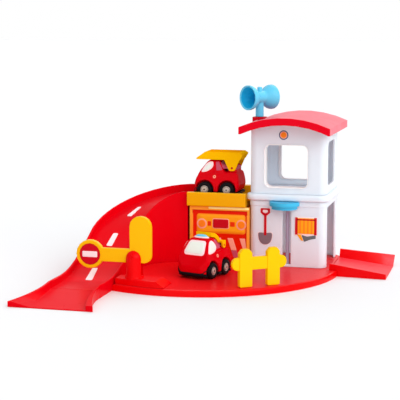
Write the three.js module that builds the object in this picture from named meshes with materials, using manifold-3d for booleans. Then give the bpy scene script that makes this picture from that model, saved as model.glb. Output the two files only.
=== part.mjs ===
// Toy fire station: a round yard with a curved car ramp, a garage with a roof deck, a two storey tower
// with a pole lift and a siren, a lifting barrier, a picket fence and two small trucks.
// Millimetres, +Z up, +X to the right along the tower front, +Y to the back.
// The origin is the centre of the round yard, on the ground.
import * as THREE from 'three';
import { mergeVertices } from 'three/addons/utils/BufferGeometryUtils.js';
import Module from 'manifold-3d';

const wasm = await Module();
wasm.setup();

// Driving dimensions, in millimetres.
const fit = { gap: 0.3, play: 0.1, overrun: 1.5, facet: 0.35, facetShare: 0.028, rounding: 1.2 };

const yard = {
  radius: 227,
  height: 10.4,
  edge: 4,
  wall: 2.6,
  skin: 2.4,
  rib: 2,
  ribPitch: 45,
  hubRadius: 20,
  sideInset: 14,
  back: 124,
  backCorner: 12,
};

const deckHeight = 118.5;

const road = {
  x: -128,
  startY: -265,
  turnY: -72,
  turnRadius: 104,
  halfWidth: 36,
  wall: 4,
  skin: 3,
  outerCurb: 11,
  innerCurb: 7,
  outerCurbTop: 13,
  innerCurbTop: 9.4,
  curbRound: 1.4,
  footHeight: 12,
  levelShare: 0.12,
  ribPitch: 44,
  rib: 2,
  straightSteps: 9,
  turnSteps: 14,
};

const lowerRamp = {
  length: 85,
  floorAtLip: 1.6,
  outerFlare: 30,
  innerFlare: 20,
  innerThick: 11,
  curbAtLip: 8.5,
  steps: 8,
};

const sideRamp = {
  length: 92,
  front: -14,
  landing: 2,
  wall: 4,
  floorWidth: 107,
  taper: 12,
  lean: 9,
  flare: 19,
  frontFlare: 8,
  nearCurb: 10,
  nearCurbAtLip: 7,
  farCurb: 13,
  farCurbAtLip: 14,
  floorAtLip: 1.6,
  steps: 4,
};

const garage = {
  front: -14,
  back: 84,
  wall: 3,
  frontSetBack: 4,
  frontThick: 8,
  wallInset: 3.5,
  leftJamb: 1.5,
  rightJamb: 3,
  slabThick: 13.2,
  slabSkin: 3,
  frontCurb: 9.5,
  backCurb: 13,
  curbRound: 2,
  headerHeight: 6.2,
  sill: 0.6,
};

const door = { thick: 3, recess: 2, stopLip: 1, sideGap: 0.6, pinRadius: 1.7, pinLength: 1.9, pinDrop: 4 };

const tower = {
  left: 80.5,
  sideInset: 7,
  front: -10,
  back: 115,
  corner: 12,
  wall: 3,
  ledge: 6,
  ledgeHeight: 11,
  ledgeRound: 3.5,
  frieze: 1.2,
  friezeHeight: 8.5,
  trayThick: 3,
};

const openings = {
  sideDoorFront: 0,
  sideDoorWidth: 92,
  sideDoorDrop: 10.5,
  innerDoorFront: 6,
  innerDoorWidth: 66,
  innerDoorDrop: 22.5,
  deckDoorFront: 2,
  deckDoorWidth: 66,
  deckDoorDrop: 23,
  windowLeftInset: 24,
  windowRightInset: 29.5,
  windowSill: 9.6,
  windowDrop: 18,
  windowCorner: 10,
  sideWindowFront: 8,
  sideWindowWidth: 70,
  sideWindowSill: 13.5,
  sideWindowDrop: 14,
};

const roof = {
  overhangLeft: 11.2,
  overhangRight: 10.5,
  overhangFront: 34,
  overhangBack: 30,
  height: 136.5,
  rise: 15.5,
  thick: 11.5,
  skin: 3,
  rim: 4,
};

const siren = {
  wallOffset: 11.5,
  y: 12,
  socketSize: 20,
  socketDrop: 2.5,
  postRadius: 6.2,
  centreRise: 31.5,
  bellRadius: 20,
  neckRadius: 11.2,
  length: 53,
  bellWall: 2,
  bellDepth: 19,
  throatRadius: 5.5,
  spigotRadius: 3,
  spigotLength: 3.8,
  knobRadius: 3.2,
  knobHeight: 3.5,
  turn: -2.2,
};

const lift = {
  x: 142.6,
  poleRadius: 3,
  poleInset: 9,
  slotWidth: 14,
  slotBottom: 15,
  slotTopDrop: 2.2,
  platformShift: 3.6,
  platformRadius: 24.5,
  platformDrop: 0.5,
  platformRim: 7,
  stepInset: 3.5,
  stepHeight: 4.8,
  platformRound: 1.2,
  sleeveWall: 3.2,
  runGap: 0.3,
  armSideGap: 1.2,
};

const barrier = {
  x: -55,
  rimInset: 27,
  padHeight: 9.6,
  padLeft: -84,
  padRight: -2,
  padDepth: 36,
  padRimInset: 1,
  padRound: 2.5,
  padSlope: 14,
  postRadius: 13,
  footRadius: 14.6,
  footHeight: 7,
  postTop: 63.5,
  slotFloor: 24,
  slotGap: 0.4,
  pivotHeight: 54,
  pinRadius: 2,
  pinInset: 1.4,
};

const lever = {
  thick: 8,
  reach: 70,
  ringRadius: 22,
  armHeight: 20.6,
  paddleWidth: 34,
  paddleOffset: 10.6,
  paddleTop: 61,
  paddleDrop: 11,
  paddleRound: 16,
  heelRound: 11,
  edge: 1,
  signRadius: 16.5,
  signThick: 1.4,
};

const fence = {
  rimInset: 16.56,
  bearing: -0.902,
  turn: 0.66,
  spacing: 46,
  picketWidth: 21,
  picketThick: 9,
  picketHeight: 58,
  shoulder: 6,
  railLength: 91,
  railHeight: 19.5,
  railThick: 6.5,
  railCentre: 35.6,
  edge: 1.2,
};

const truck = {
  wheelbase: 37.5,
  wheelRadius: 12.5,
  wheelWidth: 10,
  wheelInset: 0.6,
  wheelBore: 2,
  wheelRound: 2.4,
  dishRadius: 6,
  dishDepth: 1.6,
  archGap: 3,
  axleRadius: 1.6,
  capRadius: 4.8,
  capThick: 2,
  frontOverhang: 21,
  rearOverhang: 21,
  halfWidth: 30.5,
  chassisBottom: 4,
  chassisTop: 8,
  chassisInset: 0.8,
  bearingWidth: 9,
  bearingLength: 9,
  bellyHeight: 19,
  beltHeight: 43,
  beltHalfWidth: 23.5,
  windscreenFoot: 12,
  roofStart: 26,
  roofEnd: 43.5,
  cabEnd: 53,
  roofHeight: 61,
  deckHeight: 41,
  roofHalfWidth: 18,
  noseCorner: 14,
  noseHalf: 15,
  noseSweep: 6,
  tailCorner: 9,
};

const bed = {
  floorHeight: 61.5,
  topHeight: 74,
  wall: 2,
  halfWidth: 22,
  noseX: -34.5,
  noseTopX: -20,
  tailX: 44.5,
  tailTopX: 39,
  tailFootX: 39.5,
  cheekStartX: 12,
  cheekThick: 3,
  pivotX: 26,
  pivotHeight: 48,
  eyeRadius: 4.6,
  pinRadius: 1.8,
  bossHalfLength: 7,
  bossHalfWidth: 18.5,
  bossTop: 52.5,
};

const boom = {
  halfWidth: 14,
  thick: 6.5,
  archX: -2,
  archHeight: 36,
  archRadius: 32.5,
  tipAngle: 1.53,
  footAngle: 0.56,
  pivotX: 25.6,
  pivotHeight: 45.7,
  eyeRadius: 4.2,
  bossRadius: 3.6,
  pinRadius: 1.8,
  yokeDrop: 4.4,
  cheekHalfWidth: 21.5,
  cheekThick: 3,
};

const lightBar = { length: 8.5, halfWidth: 10, height: 5, x: -11.5, round: 2.4 };

const tipper = { x: 20, y: 33 };
const engine = { x: 30, y: -107, turn: 1.27 };

// Solid helpers: each takes outlines or geometry made with three.js and gives back a closed solid.
function solidOf(geometry) {
  const bare = geometry.clone();
  bare.deleteAttribute('normal');
  bare.deleteAttribute('uv');
  const merged = mergeVertices(bare);
  const kept = [];
  const index = merged.index.array;
  for (let i = 0; i < index.length; i += 3) {
    const [a, b, c] = index.slice(i, i + 3);
    if (a !== b && b !== c && c !== a) kept.push(a, b, c);
  }
  const mesh = new wasm.Mesh({
    numProp: 3,
    vertProperties: new Float32Array(merged.attributes.position.array),
    triVerts: new Uint32Array(kept),
  });
  return new wasm.Manifold(mesh);
}

function geometryOf(solid) {
  const mesh = solid.getMesh();
  const geometry = new THREE.BufferGeometry();
  geometry.setAttribute('position', new THREE.BufferAttribute(mesh.vertProperties, 3));
  geometry.setIndex(new THREE.BufferAttribute(mesh.triVerts, 1));
  geometry.computeVertexNormals();
  return geometry;
}

const join = (first, ...others) => others.reduce((sum, other) => sum.add(other), first);
const cut = (first, ...others) => others.reduce((rest, other) => rest.subtract(other), first);
const common = (first, ...others) => others.reduce((rest, other) => rest.intersect(other), first);

// Points along an arc, close enough that no chord strays from it by more than the facet size,
// and small arcs finer still, so that a pin turns freely in its hole.
function arc(x, y, radius, from, to) {
  const stepAngle = 2 * Math.acos(1 - Math.min(fit.facet / radius, fit.facetShare));
  const steps = Math.max(2, Math.ceil(Math.abs(to - from) / stepAngle));
  return Array.from({ length: steps + 1 }, (_, i) => {
    const angle = from + ((to - from) * i) / steps;
    return new THREE.Vector2(x + radius * Math.cos(angle), y + radius * Math.sin(angle));
  });
}

const circle = (x, y, radius) => arc(x, y, radius, 0, 2 * Math.PI).slice(1);

// An outline from corners [x, y, radius], each corner rounded by its own radius.
function rounded(corners) {
  const count = corners.length;
  return corners.flatMap(([x, y, radius = 0], i) => {
    const here = new THREE.Vector2(x, y);
    if (radius === 0) return [here];
    const [bx, by] = corners[(i + count - 1) % count];
    const [ax, ay] = corners[(i + 1) % count];
    const before = new THREE.Vector2(bx, by).sub(here).normalize();
    const after = new THREE.Vector2(ax, ay).sub(here).normalize();
    const half = Math.acos(before.dot(after)) / 2;
    const middle = before.clone().add(after).normalize();
    const centre = here.clone().addScaledVector(middle, radius / Math.sin(half));
    const start = here.clone().addScaledVector(before, radius / Math.tan(half)).sub(centre);
    const end = here.clone().addScaledVector(after, radius / Math.tan(half)).sub(centre);
    const turn = Math.atan2(start.cross(end), start.dot(end));
    return arc(centre.x, centre.y, radius, start.angle(), start.angle() + turn);
  });
}

const rectangle = (x0, y0, x1, y1, radius = 0) => rounded([
  [x0, y0, radius],
  [x1, y0, radius],
  [x1, y1, radius],
  [x0, y1, radius],
]);

// An outline pulled up from z0 to z1; round softens its top and bottom edges.
function raised(outline, z0, z1, round = 0) {
  const options = { depth: z1 - z0 - 2 * round, bevelEnabled: false };
  if (round > 0) {
    options.bevelEnabled = true;
    options.bevelSize = round;
    options.bevelThickness = round;
    options.bevelOffset = -round;
    options.bevelSegments = 2;
  }
  return new THREE.ExtrudeGeometry(new THREE.Shape(outline), options).translate(0, 0, z0 + round);
}

const slabZ = (outline, z0, z1, round = 0) => solidOf(raised(outline, z0, z1, round));

// The same along Y: the outline is drawn in X and Z.
const slabY = (outline, y0, y1, round = 0) =>
  solidOf(raised(outline, -y1, -y0, round).rotateX(Math.PI / 2));

// The same along X: the outline is drawn in Y and Z.
const alongX = new THREE.Matrix4().makeBasis(
  new THREE.Vector3(0, 1, 0),
  new THREE.Vector3(0, 0, 1),
  new THREE.Vector3(1, 0, 0),
);
const slabX = (outline, x0, x1, round = 0) =>
  solidOf(raised(outline, x0, x1, round).applyMatrix4(alongX));

const box = (x0, x1, y0, y1, z0, z1) => slabZ(rectangle(x0, y0, x1, y1), z0, z1);

// A skin stretched over closed sections that all have the same number of points.
function loft(sections, faceOutline) {
  const count = sections[0].length;
  const positions = sections.flat().flatMap((point) => point.toArray());
  const triangles = [];
  for (let s = 0; s < sections.length - 1; s += 1) {
    for (let i = 0; i < count; i += 1) {
      const a = s * count + i;
      const b = s * count + ((i + 1) % count);
      triangles.push(a, b, b + count, a, b + count, a + count);
    }
  }
  const last = (sections.length - 1) * count;
  for (const [a, b, c] of THREE.ShapeUtils.triangulateShape(faceOutline, [])) {
    triangles.push(a, c, b, last + a, last + b, last + c);
  }
  const geometry = new THREE.BufferGeometry();
  geometry.setAttribute('position', new THREE.Float32BufferAttribute(positions, 3));
  geometry.setIndex(triangles);
  return solidOf(geometry);
}

// Materials.
const plastic = (color, roughness) =>
  new THREE.MeshStandardMaterial({ color, roughness, metalness: 0 });
const redPlastic = () => plastic(0xe0101c, 0.35);
const whitePlastic = () => plastic(0xe9ebf6, 0.4);
const yellowPlastic = () => plastic(0xffd400, 0.4);
const amberPlastic = () => plastic(0xfdb913, 0.4);
const orangePlastic = () => plastic(0xf59a1b, 0.4);
const bluePlastic = () => plastic(0x4fc0ea, 0.35);
const greyPlastic = () => plastic(0xb9b4c8, 0.4);
const darkRedPlastic = () => plastic(0xb00a20, 0.4);
const blackPlastic = () => plastic(0x17171a, 0.5);
const steelPin = () =>
  new THREE.MeshStandardMaterial({ color: 0xc8c8cc, roughness: 0.35, metalness: 0.9 });

const piece = (name, solid, material) => {
  const mesh = new THREE.Mesh(geometryOf(solid), material);
  mesh.name = name;
  return mesh;
};

// The yard: a round plate with a straight back, hollow below, with a rib grid.
const yardRight = yard.radius - yard.sideInset;
const roadSide = road.halfWidth + road.wall;
const turnX = road.x + road.turnRadius;

function yardOutline(inset) {
  const radius = yard.radius - inset;
  const left = road.x + roadSide + fit.gap + inset;
  const right = yardRight - inset;
  const rear = yard.back - inset;
  const turn = road.turnRadius - roadSide - fit.gap - inset;
  const corner = yard.backCorner;
  const notch = sideRamp.front - sideRamp.landing - inset;
  return [
    ...arc(0, 0, radius, -Math.acos(left / radius), Math.asin(notch / radius)),
    new THREE.Vector2(right, notch),
    ...arc(right - corner, rear - corner, corner, 0, Math.PI / 2),
    ...arc(turnX + inset + corner, rear - corner, corner, Math.PI / 2, Math.PI),
    ...arc(turnX, road.turnY, turn, Math.acos(inset / turn), Math.PI),
  ];
}

function yardRibs() {
  const ribs = [slabZ(circle(0, 0, yard.hubRadius), 0, yard.height)];
  const reach = yard.radius;
  for (let x = -2 * yard.ribPitch; x < yardRight; x += yard.ribPitch) {
    ribs.push(box(x, x + yard.rib, -reach, reach, 0, yard.height));
  }
  for (let y = -5 * yard.ribPitch; y < yard.back; y += yard.ribPitch) {
    ribs.push(box(-reach, reach, y, y + yard.rib, 0, yard.height));
  }
  return ribs;
}

function basePlate() {
  const plate = slabZ(yardOutline(0), -yard.edge, yard.height, yard.edge);
  const hollow = slabZ(yardOutline(yard.wall), 0, yard.height - yard.skin);
  const below = slabZ(rectangle(-yard.radius, -yard.radius, yard.radius, yard.radius), -2 * yard.edge, 0);
  return cut(plate, cut(hollow, ...yardRibs()), below);
}

// The car ramp: a channel swept along a straight and a quarter turn, rising in an S to the deck.
const roadStraight = road.turnY - road.startY;
const roadTurn = (road.turnRadius * Math.PI) / 2;
const roadLength = roadStraight + roadTurn;

function roadPlace(distance) {
  if (distance <= roadStraight) {
    return { x: road.x, y: road.startY + distance, sideX: -1, sideY: 0 };
  }
  const angle = Math.PI - (distance - roadStraight) / road.turnRadius;
  const sideX = Math.cos(angle);
  const sideY = Math.sin(angle);
  const x = turnX + road.turnRadius * sideX;
  const y = road.turnY + road.turnRadius * sideY;
  return { x, y, sideX, sideY };
}

function roadHeight(distance) {
  const along = (distance / roadLength - road.levelShare) / (1 - road.levelShare);
  const rise = THREE.MathUtils.smoothstep(along, 0, 1);
  return road.footHeight + (deckHeight - road.footHeight) * rise;
}

function roadProfile(height) {
  const { halfWidth: half, wall, skin, curbRound: round } = road;
  const side = half + wall;
  const climb = (height - road.footHeight) / (deckHeight - road.footHeight);
  const outerTop = height + THREE.MathUtils.lerp(road.outerCurb, road.outerCurbTop, climb);
  const innerTop = height + THREE.MathUtils.lerp(road.innerCurb, road.innerCurbTop, climb);
  return [
    [side, 0],
    [side, outerTop - round],
    [side - round, outerTop],
    [half + round, outerTop],
    [half, outerTop - round],
    [half, height],
    [-half, height],
    [-half, innerTop - round],
    [-half - round, innerTop],
    [round - side, innerTop],
    [-side, innerTop - round],
    [-side, 0],
    [skin - side, 0],
    [skin - side, height - skin],
    [side - skin, height - skin],
    [side - skin, 0],
  ];
}

const placeProfile = (profile, { x, y, sideX, sideY }) =>
  profile.map(([side, height]) => new THREE.Vector3(x + sideX * side, y + sideY * side, height));

const flat = (profile) => profile.map(([side, height]) => new THREE.Vector2(side, height));

function roadRib(distance) {
  const side = road.halfWidth + road.wall - road.skin / 2;
  const sections = [distance, distance + road.rib].map((at) => {
    const height = roadHeight(at) - road.skin / 2;
    return placeProfile([[side, 0], [side, height], [-side, height], [-side, 0]], roadPlace(at));
  });
  return loft(sections, flat([[side, 0], [side, deckHeight], [-side, deckHeight], [-side, 0]]));
}

function carRamp() {
  const distances = [];
  for (let i = 0; i <= road.straightSteps; i += 1) {
    distances.push((roadStraight * i) / road.straightSteps);
  }
  for (let i = 1; i <= road.turnSteps; i += 1) {
    distances.push(roadStraight + (roadTurn * i) / road.turnSteps);
  }
  const sections = distances.map((at) => placeProfile(roadProfile(roadHeight(at)), roadPlace(at)));
  let ramp = loft(sections, flat(roadProfile(deckHeight)));
  for (let at = road.ribPitch; at < roadLength - road.ribPitch / 2; at += road.ribPitch) {
    ramp = join(ramp, roadRib(at));
  }
  return ramp;
}

// The lower exit ramp: it carries the road down to the ground and flares like a funnel.
function lowerExitRamp() {
  const sections = [];
  for (let i = 0; i <= lowerRamp.steps; i += 1) {
    const along = i / lowerRamp.steps;
    const opening = along * along;
    const floor = THREE.MathUtils.lerp(road.footHeight, lowerRamp.floorAtLip, along);
    const outerTop = THREE.MathUtils.lerp(road.footHeight + road.outerCurb, lowerRamp.curbAtLip, along);
    const innerTop = THREE.MathUtils.lerp(road.footHeight + road.innerCurb, lowerRamp.curbAtLip, along);
    const outer = roadSide + lowerRamp.outerFlare * opening;
    const inner = roadSide + lowerRamp.innerFlare * opening;
    const curbInside = THREE.MathUtils.lerp(inner - road.wall, inner - lowerRamp.innerThick, opening);
    const profile = [
      [outer, 0],
      [outer, outerTop],
      [outer - road.wall, outerTop],
      [road.halfWidth, floor],
      [-curbInside, floor],
      [-curbInside, innerTop],
      [-inner, innerTop],
      [-inner, 0],
    ];
    const y = road.startY - fit.gap - lowerRamp.length * along;
    sections.push(placeProfile(profile, { x: road.x, y, sideX: -1, sideY: 0 }));
  }
  const face = sections[0].map((point) => new THREE.Vector2(road.x - point.x, point.z));
  return loft(sections.reverse(), face);
}

// The side exit ramp: it leaves the tower through the right doorway, with a low wall in front
// and a high leaning one behind, and opens towards its lip.
function sideExitRamp() {
  const sections = [];
  const { wall, lean } = sideRamp;
  for (let i = 0; i <= sideRamp.steps; i += 1) {
    const along = i / sideRamp.steps;
    const floor = THREE.MathUtils.lerp(yard.height, sideRamp.floorAtLip, along);
    const nearTop = floor + THREE.MathUtils.lerp(sideRamp.nearCurb, sideRamp.nearCurbAtLip, along);
    const farTop = floor + THREE.MathUtils.lerp(sideRamp.farCurb, sideRamp.farCurbAtLip, along);
    const front = sideRamp.front - sideRamp.frontFlare * along;
    const foot = sideRamp.front + wall + sideRamp.floorWidth - sideRamp.taper * along;
    const crest = foot + lean + sideRamp.flare * along;
    const profile = [
      [front, 0],
      [foot + wall, 0],
      [crest + wall, farTop],
      [crest, farTop],
      [foot, floor],
      [front + wall, floor],
      [front + wall, nearTop],
      [front, nearTop],
    ];
    const x = yardRight + fit.gap + sideRamp.length * along;
    sections.push(profile.map(([y, z]) => new THREE.Vector3(x, y, z)));
  }
  return loft(sections, sections[0].map((point) => new THREE.Vector2(point.y, point.z)));
}

// The garage: walls round three sides with a door opening, under the roof deck.
const garageLeft = turnX + fit.gap;
const wallsLeft = garageLeft + garage.wallInset;
const garageRight = tower.left - fit.gap;
const garageBottom = yard.height + fit.gap;
const slabBottom = deckHeight - garage.slabThick;
const doorway = {
  left: wallsLeft + garage.wall + garage.leftJamb,
  right: garageRight - garage.rightJamb,
  top: slabBottom - garage.headerHeight,
};
const frontPlane = garage.front + garage.frontSetBack;
const hinge = {
  y: frontPlane + door.recess + door.thick / 2,
  z: doorway.top - door.pinDrop,
};

function garageWalls() {
  const top = slabBottom - fit.gap;
  const shell = slabZ(
    rectangle(wallsLeft, frontPlane, garageRight, garage.back),
    garageBottom,
    top,
  );
  const room = box(
    wallsLeft + garage.wall,
    garageRight + fit.overrun,
    frontPlane + garage.frontThick,
    garage.back - garage.wall,
    garageBottom - fit.overrun,
    top + fit.overrun,
  );
  const low = garageBottom - fit.overrun;
  const stop = frontPlane + door.recess - fit.gap;
  const opening = box(
    doorway.left,
    doorway.right,
    stop,
    frontPlane + garage.frontThick + fit.overrun,
    low,
    doorway.top,
  );
  const mouth = box(
    doorway.left + door.stopLip,
    doorway.right - door.stopLip,
    frontPlane - fit.overrun,
    stop + fit.overrun,
    low,
    doorway.top,
  );
  const turningRoom = box(
    doorway.left,
    doorway.right,
    frontPlane - fit.overrun,
    stop + fit.overrun,
    hinge.z - door.thick,
    doorway.top,
  );
  const pinHole = slabX(
    circle(hinge.y, hinge.z, door.pinRadius + fit.play),
    doorway.left - door.pinLength - fit.gap,
    doorway.right + door.pinLength + fit.gap,
  );
  return cut(shell, room, opening, mouth, turningRoom, pinHole);
}

function garageDoor() {
  const left = doorway.left + door.sideGap;
  const right = doorway.right - door.sideGap;
  const bottom = garageBottom + garage.sill;
  const topEdge = doorway.top - door.sideGap;
  const leaf = slabY(
    rectangle(left, bottom - hinge.z, right, topEdge - hinge.z, fit.rounding),
    -door.thick / 2,
    door.thick / 2,
  );
  const pin = slabX(
    circle(0, 0, door.pinRadius),
    doorway.left - door.pinLength,
    doorway.right + door.pinLength,
  );
  return join(leaf, pin);
}

function garageDeck() {
  const inner = road.turnY + road.turnRadius - road.halfWidth;
  const outer = inner + 2 * road.halfWidth;
  const round = garage.curbRound;
  const frontCurbTop = deckHeight + garage.frontCurb;
  const backCurbTop = deckHeight + garage.backCurb;
  const section = rounded([
    [garage.front, slabBottom, round],
    [garage.back, slabBottom, round],
    [garage.back, backCurbTop, round],
    [outer, backCurbTop, round],
    [outer, deckHeight],
    [inner, deckHeight],
    [inner, frontCurbTop, round],
    [garage.front, frontCurbTop, round],
  ]);
  const right = tower.left - tower.ledge - fit.gap;
  const slab = slabX(section, garageLeft, right);
  const pocket = box(
    garageLeft + garage.wall,
    right - garage.wall,
    garage.front + 2 * garage.wall,
    garage.back - 2 * garage.wall,
    slabBottom - fit.overrun,
    deckHeight - garage.slabSkin,
  );
  const tongue = box(
    right - garage.wall,
    garageRight,
    openings.deckDoorFront + fit.gap,
    openings.deckDoorFront + openings.deckDoorWidth - fit.gap,
    deckHeight - garage.slabSkin,
    deckHeight,
  );
  return join(cut(slab, pocket), tongue);
}

// The tower: two white shells with a tray between them that makes the ledge and the upper floor.
const towerRight = yardRight - tower.sideInset;
const towerOutline = (grow) => rectangle(
  tower.left - grow,
  tower.front - grow,
  towerRight + grow,
  tower.back + grow,
  tower.corner + grow,
);
const poleY = tower.front + lift.poleInset;
const ledgeTop = deckHeight + tower.ledgeHeight;

function towerLowerWalls() {
  const bottom = garageBottom;
  const top = deckHeight - fit.gap;
  const shell = slabZ(towerOutline(0), bottom, top);
  const frieze = common(
    slabZ(towerOutline(tower.frieze), top - tower.friezeHeight, top),
    box(
      tower.left,
      towerRight + tower.ledge,
      tower.front - tower.ledge,
      tower.back + tower.ledge,
      bottom,
      top,
    ),
  );
  const room = slabZ(towerOutline(-tower.wall), bottom - fit.overrun, top + fit.overrun);
  const sideDoor = box(
    towerRight - tower.corner,
    towerRight + fit.overrun,
    openings.sideDoorFront + tower.corner / 2,
    openings.sideDoorFront + openings.sideDoorWidth,
    bottom - fit.overrun,
    deckHeight - openings.sideDoorDrop,
  );
  const innerDoor = box(
    tower.left - fit.overrun,
    tower.left + tower.wall + fit.overrun,
    openings.innerDoorFront,
    openings.innerDoorFront + openings.innerDoorWidth,
    bottom - fit.overrun,
    deckHeight - openings.innerDoorDrop,
  );
  const slot = box(
    lift.x - lift.slotWidth / 2,
    lift.x + lift.slotWidth / 2,
    tower.front - fit.overrun,
    tower.front + tower.wall + fit.overrun,
    lift.slotBottom,
    top - lift.slotTopDrop,
  );
  return cut(join(shell, frieze), room, sideDoor, innerDoor, slot);
}

function towerFloorTray() {
  const band = slabZ(towerOutline(tower.ledge), deckHeight, ledgeTop, tower.ledgeRound);
  const plug = slabZ(
    towerOutline(-tower.wall - fit.gap),
    deckHeight - tower.trayThick,
    deckHeight + tower.trayThick,
  );
  const well = slabZ(
    towerOutline(-tower.wall - fit.gap - tower.trayThick),
    deckHeight,
    ledgeTop + fit.overrun,
  );
  const passage = box(
    tower.left - tower.ledge - fit.overrun,
    tower.left + tower.corner,
    openings.deckDoorFront,
    openings.deckDoorFront + openings.deckDoorWidth,
    deckHeight,
    ledgeTop + fit.overrun,
  );
  return cut(join(band, plug), well, passage);
}

const roofApex = deckHeight + roof.height;
const roofEaves = roofApex - roof.rise - roof.thick;
const roofLeft = tower.left - roof.overhangLeft;
const roofRight = towerRight + roof.overhangRight;
const roofHalf = (roofRight - roofLeft) / 2;
const roofX = (roofLeft + roofRight) / 2;
const roofRadius = (roofHalf * roofHalf + roof.rise * roof.rise) / (2 * roof.rise);
const roofCentre = roofApex - roofRadius;

// A vault outline in X and Z: an arched top and straight sides down to the bottom height.
function vault(half, radius, bottom) {
  const lean = Math.asin(half / radius);
  return [
    new THREE.Vector2(roofX - half, bottom),
    new THREE.Vector2(roofX + half, bottom),
    ...arc(roofX, roofCentre, radius, Math.PI / 2 - lean, Math.PI / 2 + lean),
  ];
}

function towerUpperWalls() {
  const bottom = ledgeTop + fit.gap;
  const inside = towerOutline(-tower.wall);
  const underRoof = vault(roofHalf, roofRadius - roof.skin - fit.gap, bottom);
  const shell = common(
    slabZ(towerOutline(0), bottom, roofApex),
    slabY(underRoof, tower.front - tower.corner, tower.back + tower.corner),
  );
  const room = slabZ(inside, bottom - fit.overrun, roofApex + fit.overrun);
  const windows = slabY(
    rectangle(
      tower.left + openings.windowLeftInset,
      ledgeTop + openings.windowSill,
      towerRight - openings.windowRightInset,
      roofEaves - openings.windowDrop,
      openings.windowCorner,
    ),
    tower.front - fit.overrun,
    tower.back + fit.overrun,
  );
  const sideWindow = slabX(
    rectangle(
      openings.sideWindowFront,
      ledgeTop + openings.sideWindowSill,
      openings.sideWindowFront + openings.sideWindowWidth,
      roofEaves - openings.sideWindowDrop,
      openings.windowCorner,
    ),
    towerRight - tower.corner,
    towerRight + fit.overrun,
  );
  const doorTop = roofEaves - openings.deckDoorDrop;
  const deckDoor = slabX(
    rounded([
      [openings.deckDoorFront, bottom - fit.overrun],
      [openings.deckDoorFront + openings.deckDoorWidth, bottom - fit.overrun],
      [openings.deckDoorFront + openings.deckDoorWidth, doorTop, openings.windowCorner],
      [openings.deckDoorFront, doorTop, openings.windowCorner],
    ]),
    tower.left - fit.overrun,
    tower.left + tower.corner,
  );
  return cut(shell, room, windows, sideWindow, deckDoor);
}

function towerRoof() {
  const front = tower.front - roof.overhangFront;
  const back = tower.back + roof.overhangBack;
  const outside = cut(
    slabY(vault(roofHalf, roofRadius, roofEaves), front, back),
    slabY(
      vault(roofHalf + roof.rim, roofRadius - roof.thick, roofEaves - roof.rise),
      front - roof.rim,
      back + roof.rim,
    ),
  );
  const pocket = slabY(
    vault(roofHalf - roof.rim, roofRadius - roof.skin, roofEaves - roof.rise),
    front + roof.rim,
    back - roof.rim,
  );
  return cut(outside, pocket);
}

// The siren: a red socket on the roof and a blue double horn that turns in it.
const sirenX = tower.left + siren.wallOffset;
const socketTop = roofApex - siren.socketDrop;
const hornHeight = socketTop + siren.centreRise;

function sirenSocket() {
  const half = siren.socketSize / 2;
  const bottom = roofApex - 2 * roof.rise;
  const block = slabZ(
    rectangle(sirenX - half, siren.y - half, sirenX + half, siren.y + half, fit.rounding),
    bottom,
    socketTop,
  );
  const roofTop = slabY(
    vault(roofHalf + siren.socketSize, roofRadius + fit.gap, roofCentre),
    siren.y - siren.socketSize,
    siren.y + siren.socketSize,
  );
  const bore = slabZ(
    circle(sirenX, siren.y, siren.spigotRadius + fit.play),
    bottom - fit.overrun,
    socketTop + fit.overrun,
  );
  return cut(block, roofTop, bore);
}

function hornProfile() {
  const { bellRadius, neckRadius, bellWall, bellDepth, throatRadius } = siren;
  const half = siren.length / 2;
  const side = [];
  const steps = 5;
  for (let i = 0; i <= steps; i += 1) {
    const along = i / steps;
    const flare = Math.pow(1 - along, 2.2);
    side.push(new THREE.Vector2(neckRadius + (bellRadius - neckRadius) * flare, half * (1 - along)));
  }
  const inside = [];
  for (let i = 0; i <= steps; i += 1) {
    const along = i / steps;
    const flare = Math.pow(along, 1.5);
    const radius = throatRadius + (bellRadius - bellWall - throatRadius) * flare;
    inside.push(new THREE.Vector2(radius, half - bellDepth * (1 - along)));
  }
  const upper = [new THREE.Vector2(0, half - bellDepth), ...inside, ...side];
  const lower = upper.slice(0, -1).reverse().map((point) => new THREE.Vector2(point.x, -point.y));
  return [...upper, ...lower];
}

function sirenHorn() {
  const base = socketTop + fit.gap;
  const horn = solidOf(new THREE.LatheGeometry(hornProfile().reverse(), 20));
  const post = slabZ(
    circle(0, 0, siren.postRadius),
    base - hornHeight,
    -siren.neckRadius / 2,
  );
  const spigot = slabZ(
    circle(0, 0, siren.spigotRadius),
    base - siren.spigotLength - hornHeight,
    base + siren.spigotLength - hornHeight,
  );
  const knob = slabZ(
    circle(0, 0, siren.knobRadius),
    0,
    siren.neckRadius + siren.knobHeight,
    fit.rounding,
  );
  const middle = siren.length / 2 - siren.bellDepth;
  const knobClear = common(knob, box(-middle, middle, -middle, middle, 0, 2 * siren.bellRadius));
  return join(horn, post, spigot, knobClear);
}

// The pole lift: a half round platform that slides down the pole in the slot of the tower front.
function slidePole() {
  return slabZ(
    circle(lift.x, poleY, lift.poleRadius),
    garageBottom,
    deckHeight - tower.trayThick - fit.gap,
  );
}

function halfDisc(radius, back) {
  const middle = lift.x - lift.platformShift;
  return [
    new THREE.Vector2(middle + radius, back),
    new THREE.Vector2(middle - radius, back),
    ...arc(middle, back, radius, -Math.PI, 0).slice(1, -1),
  ];
}

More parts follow.
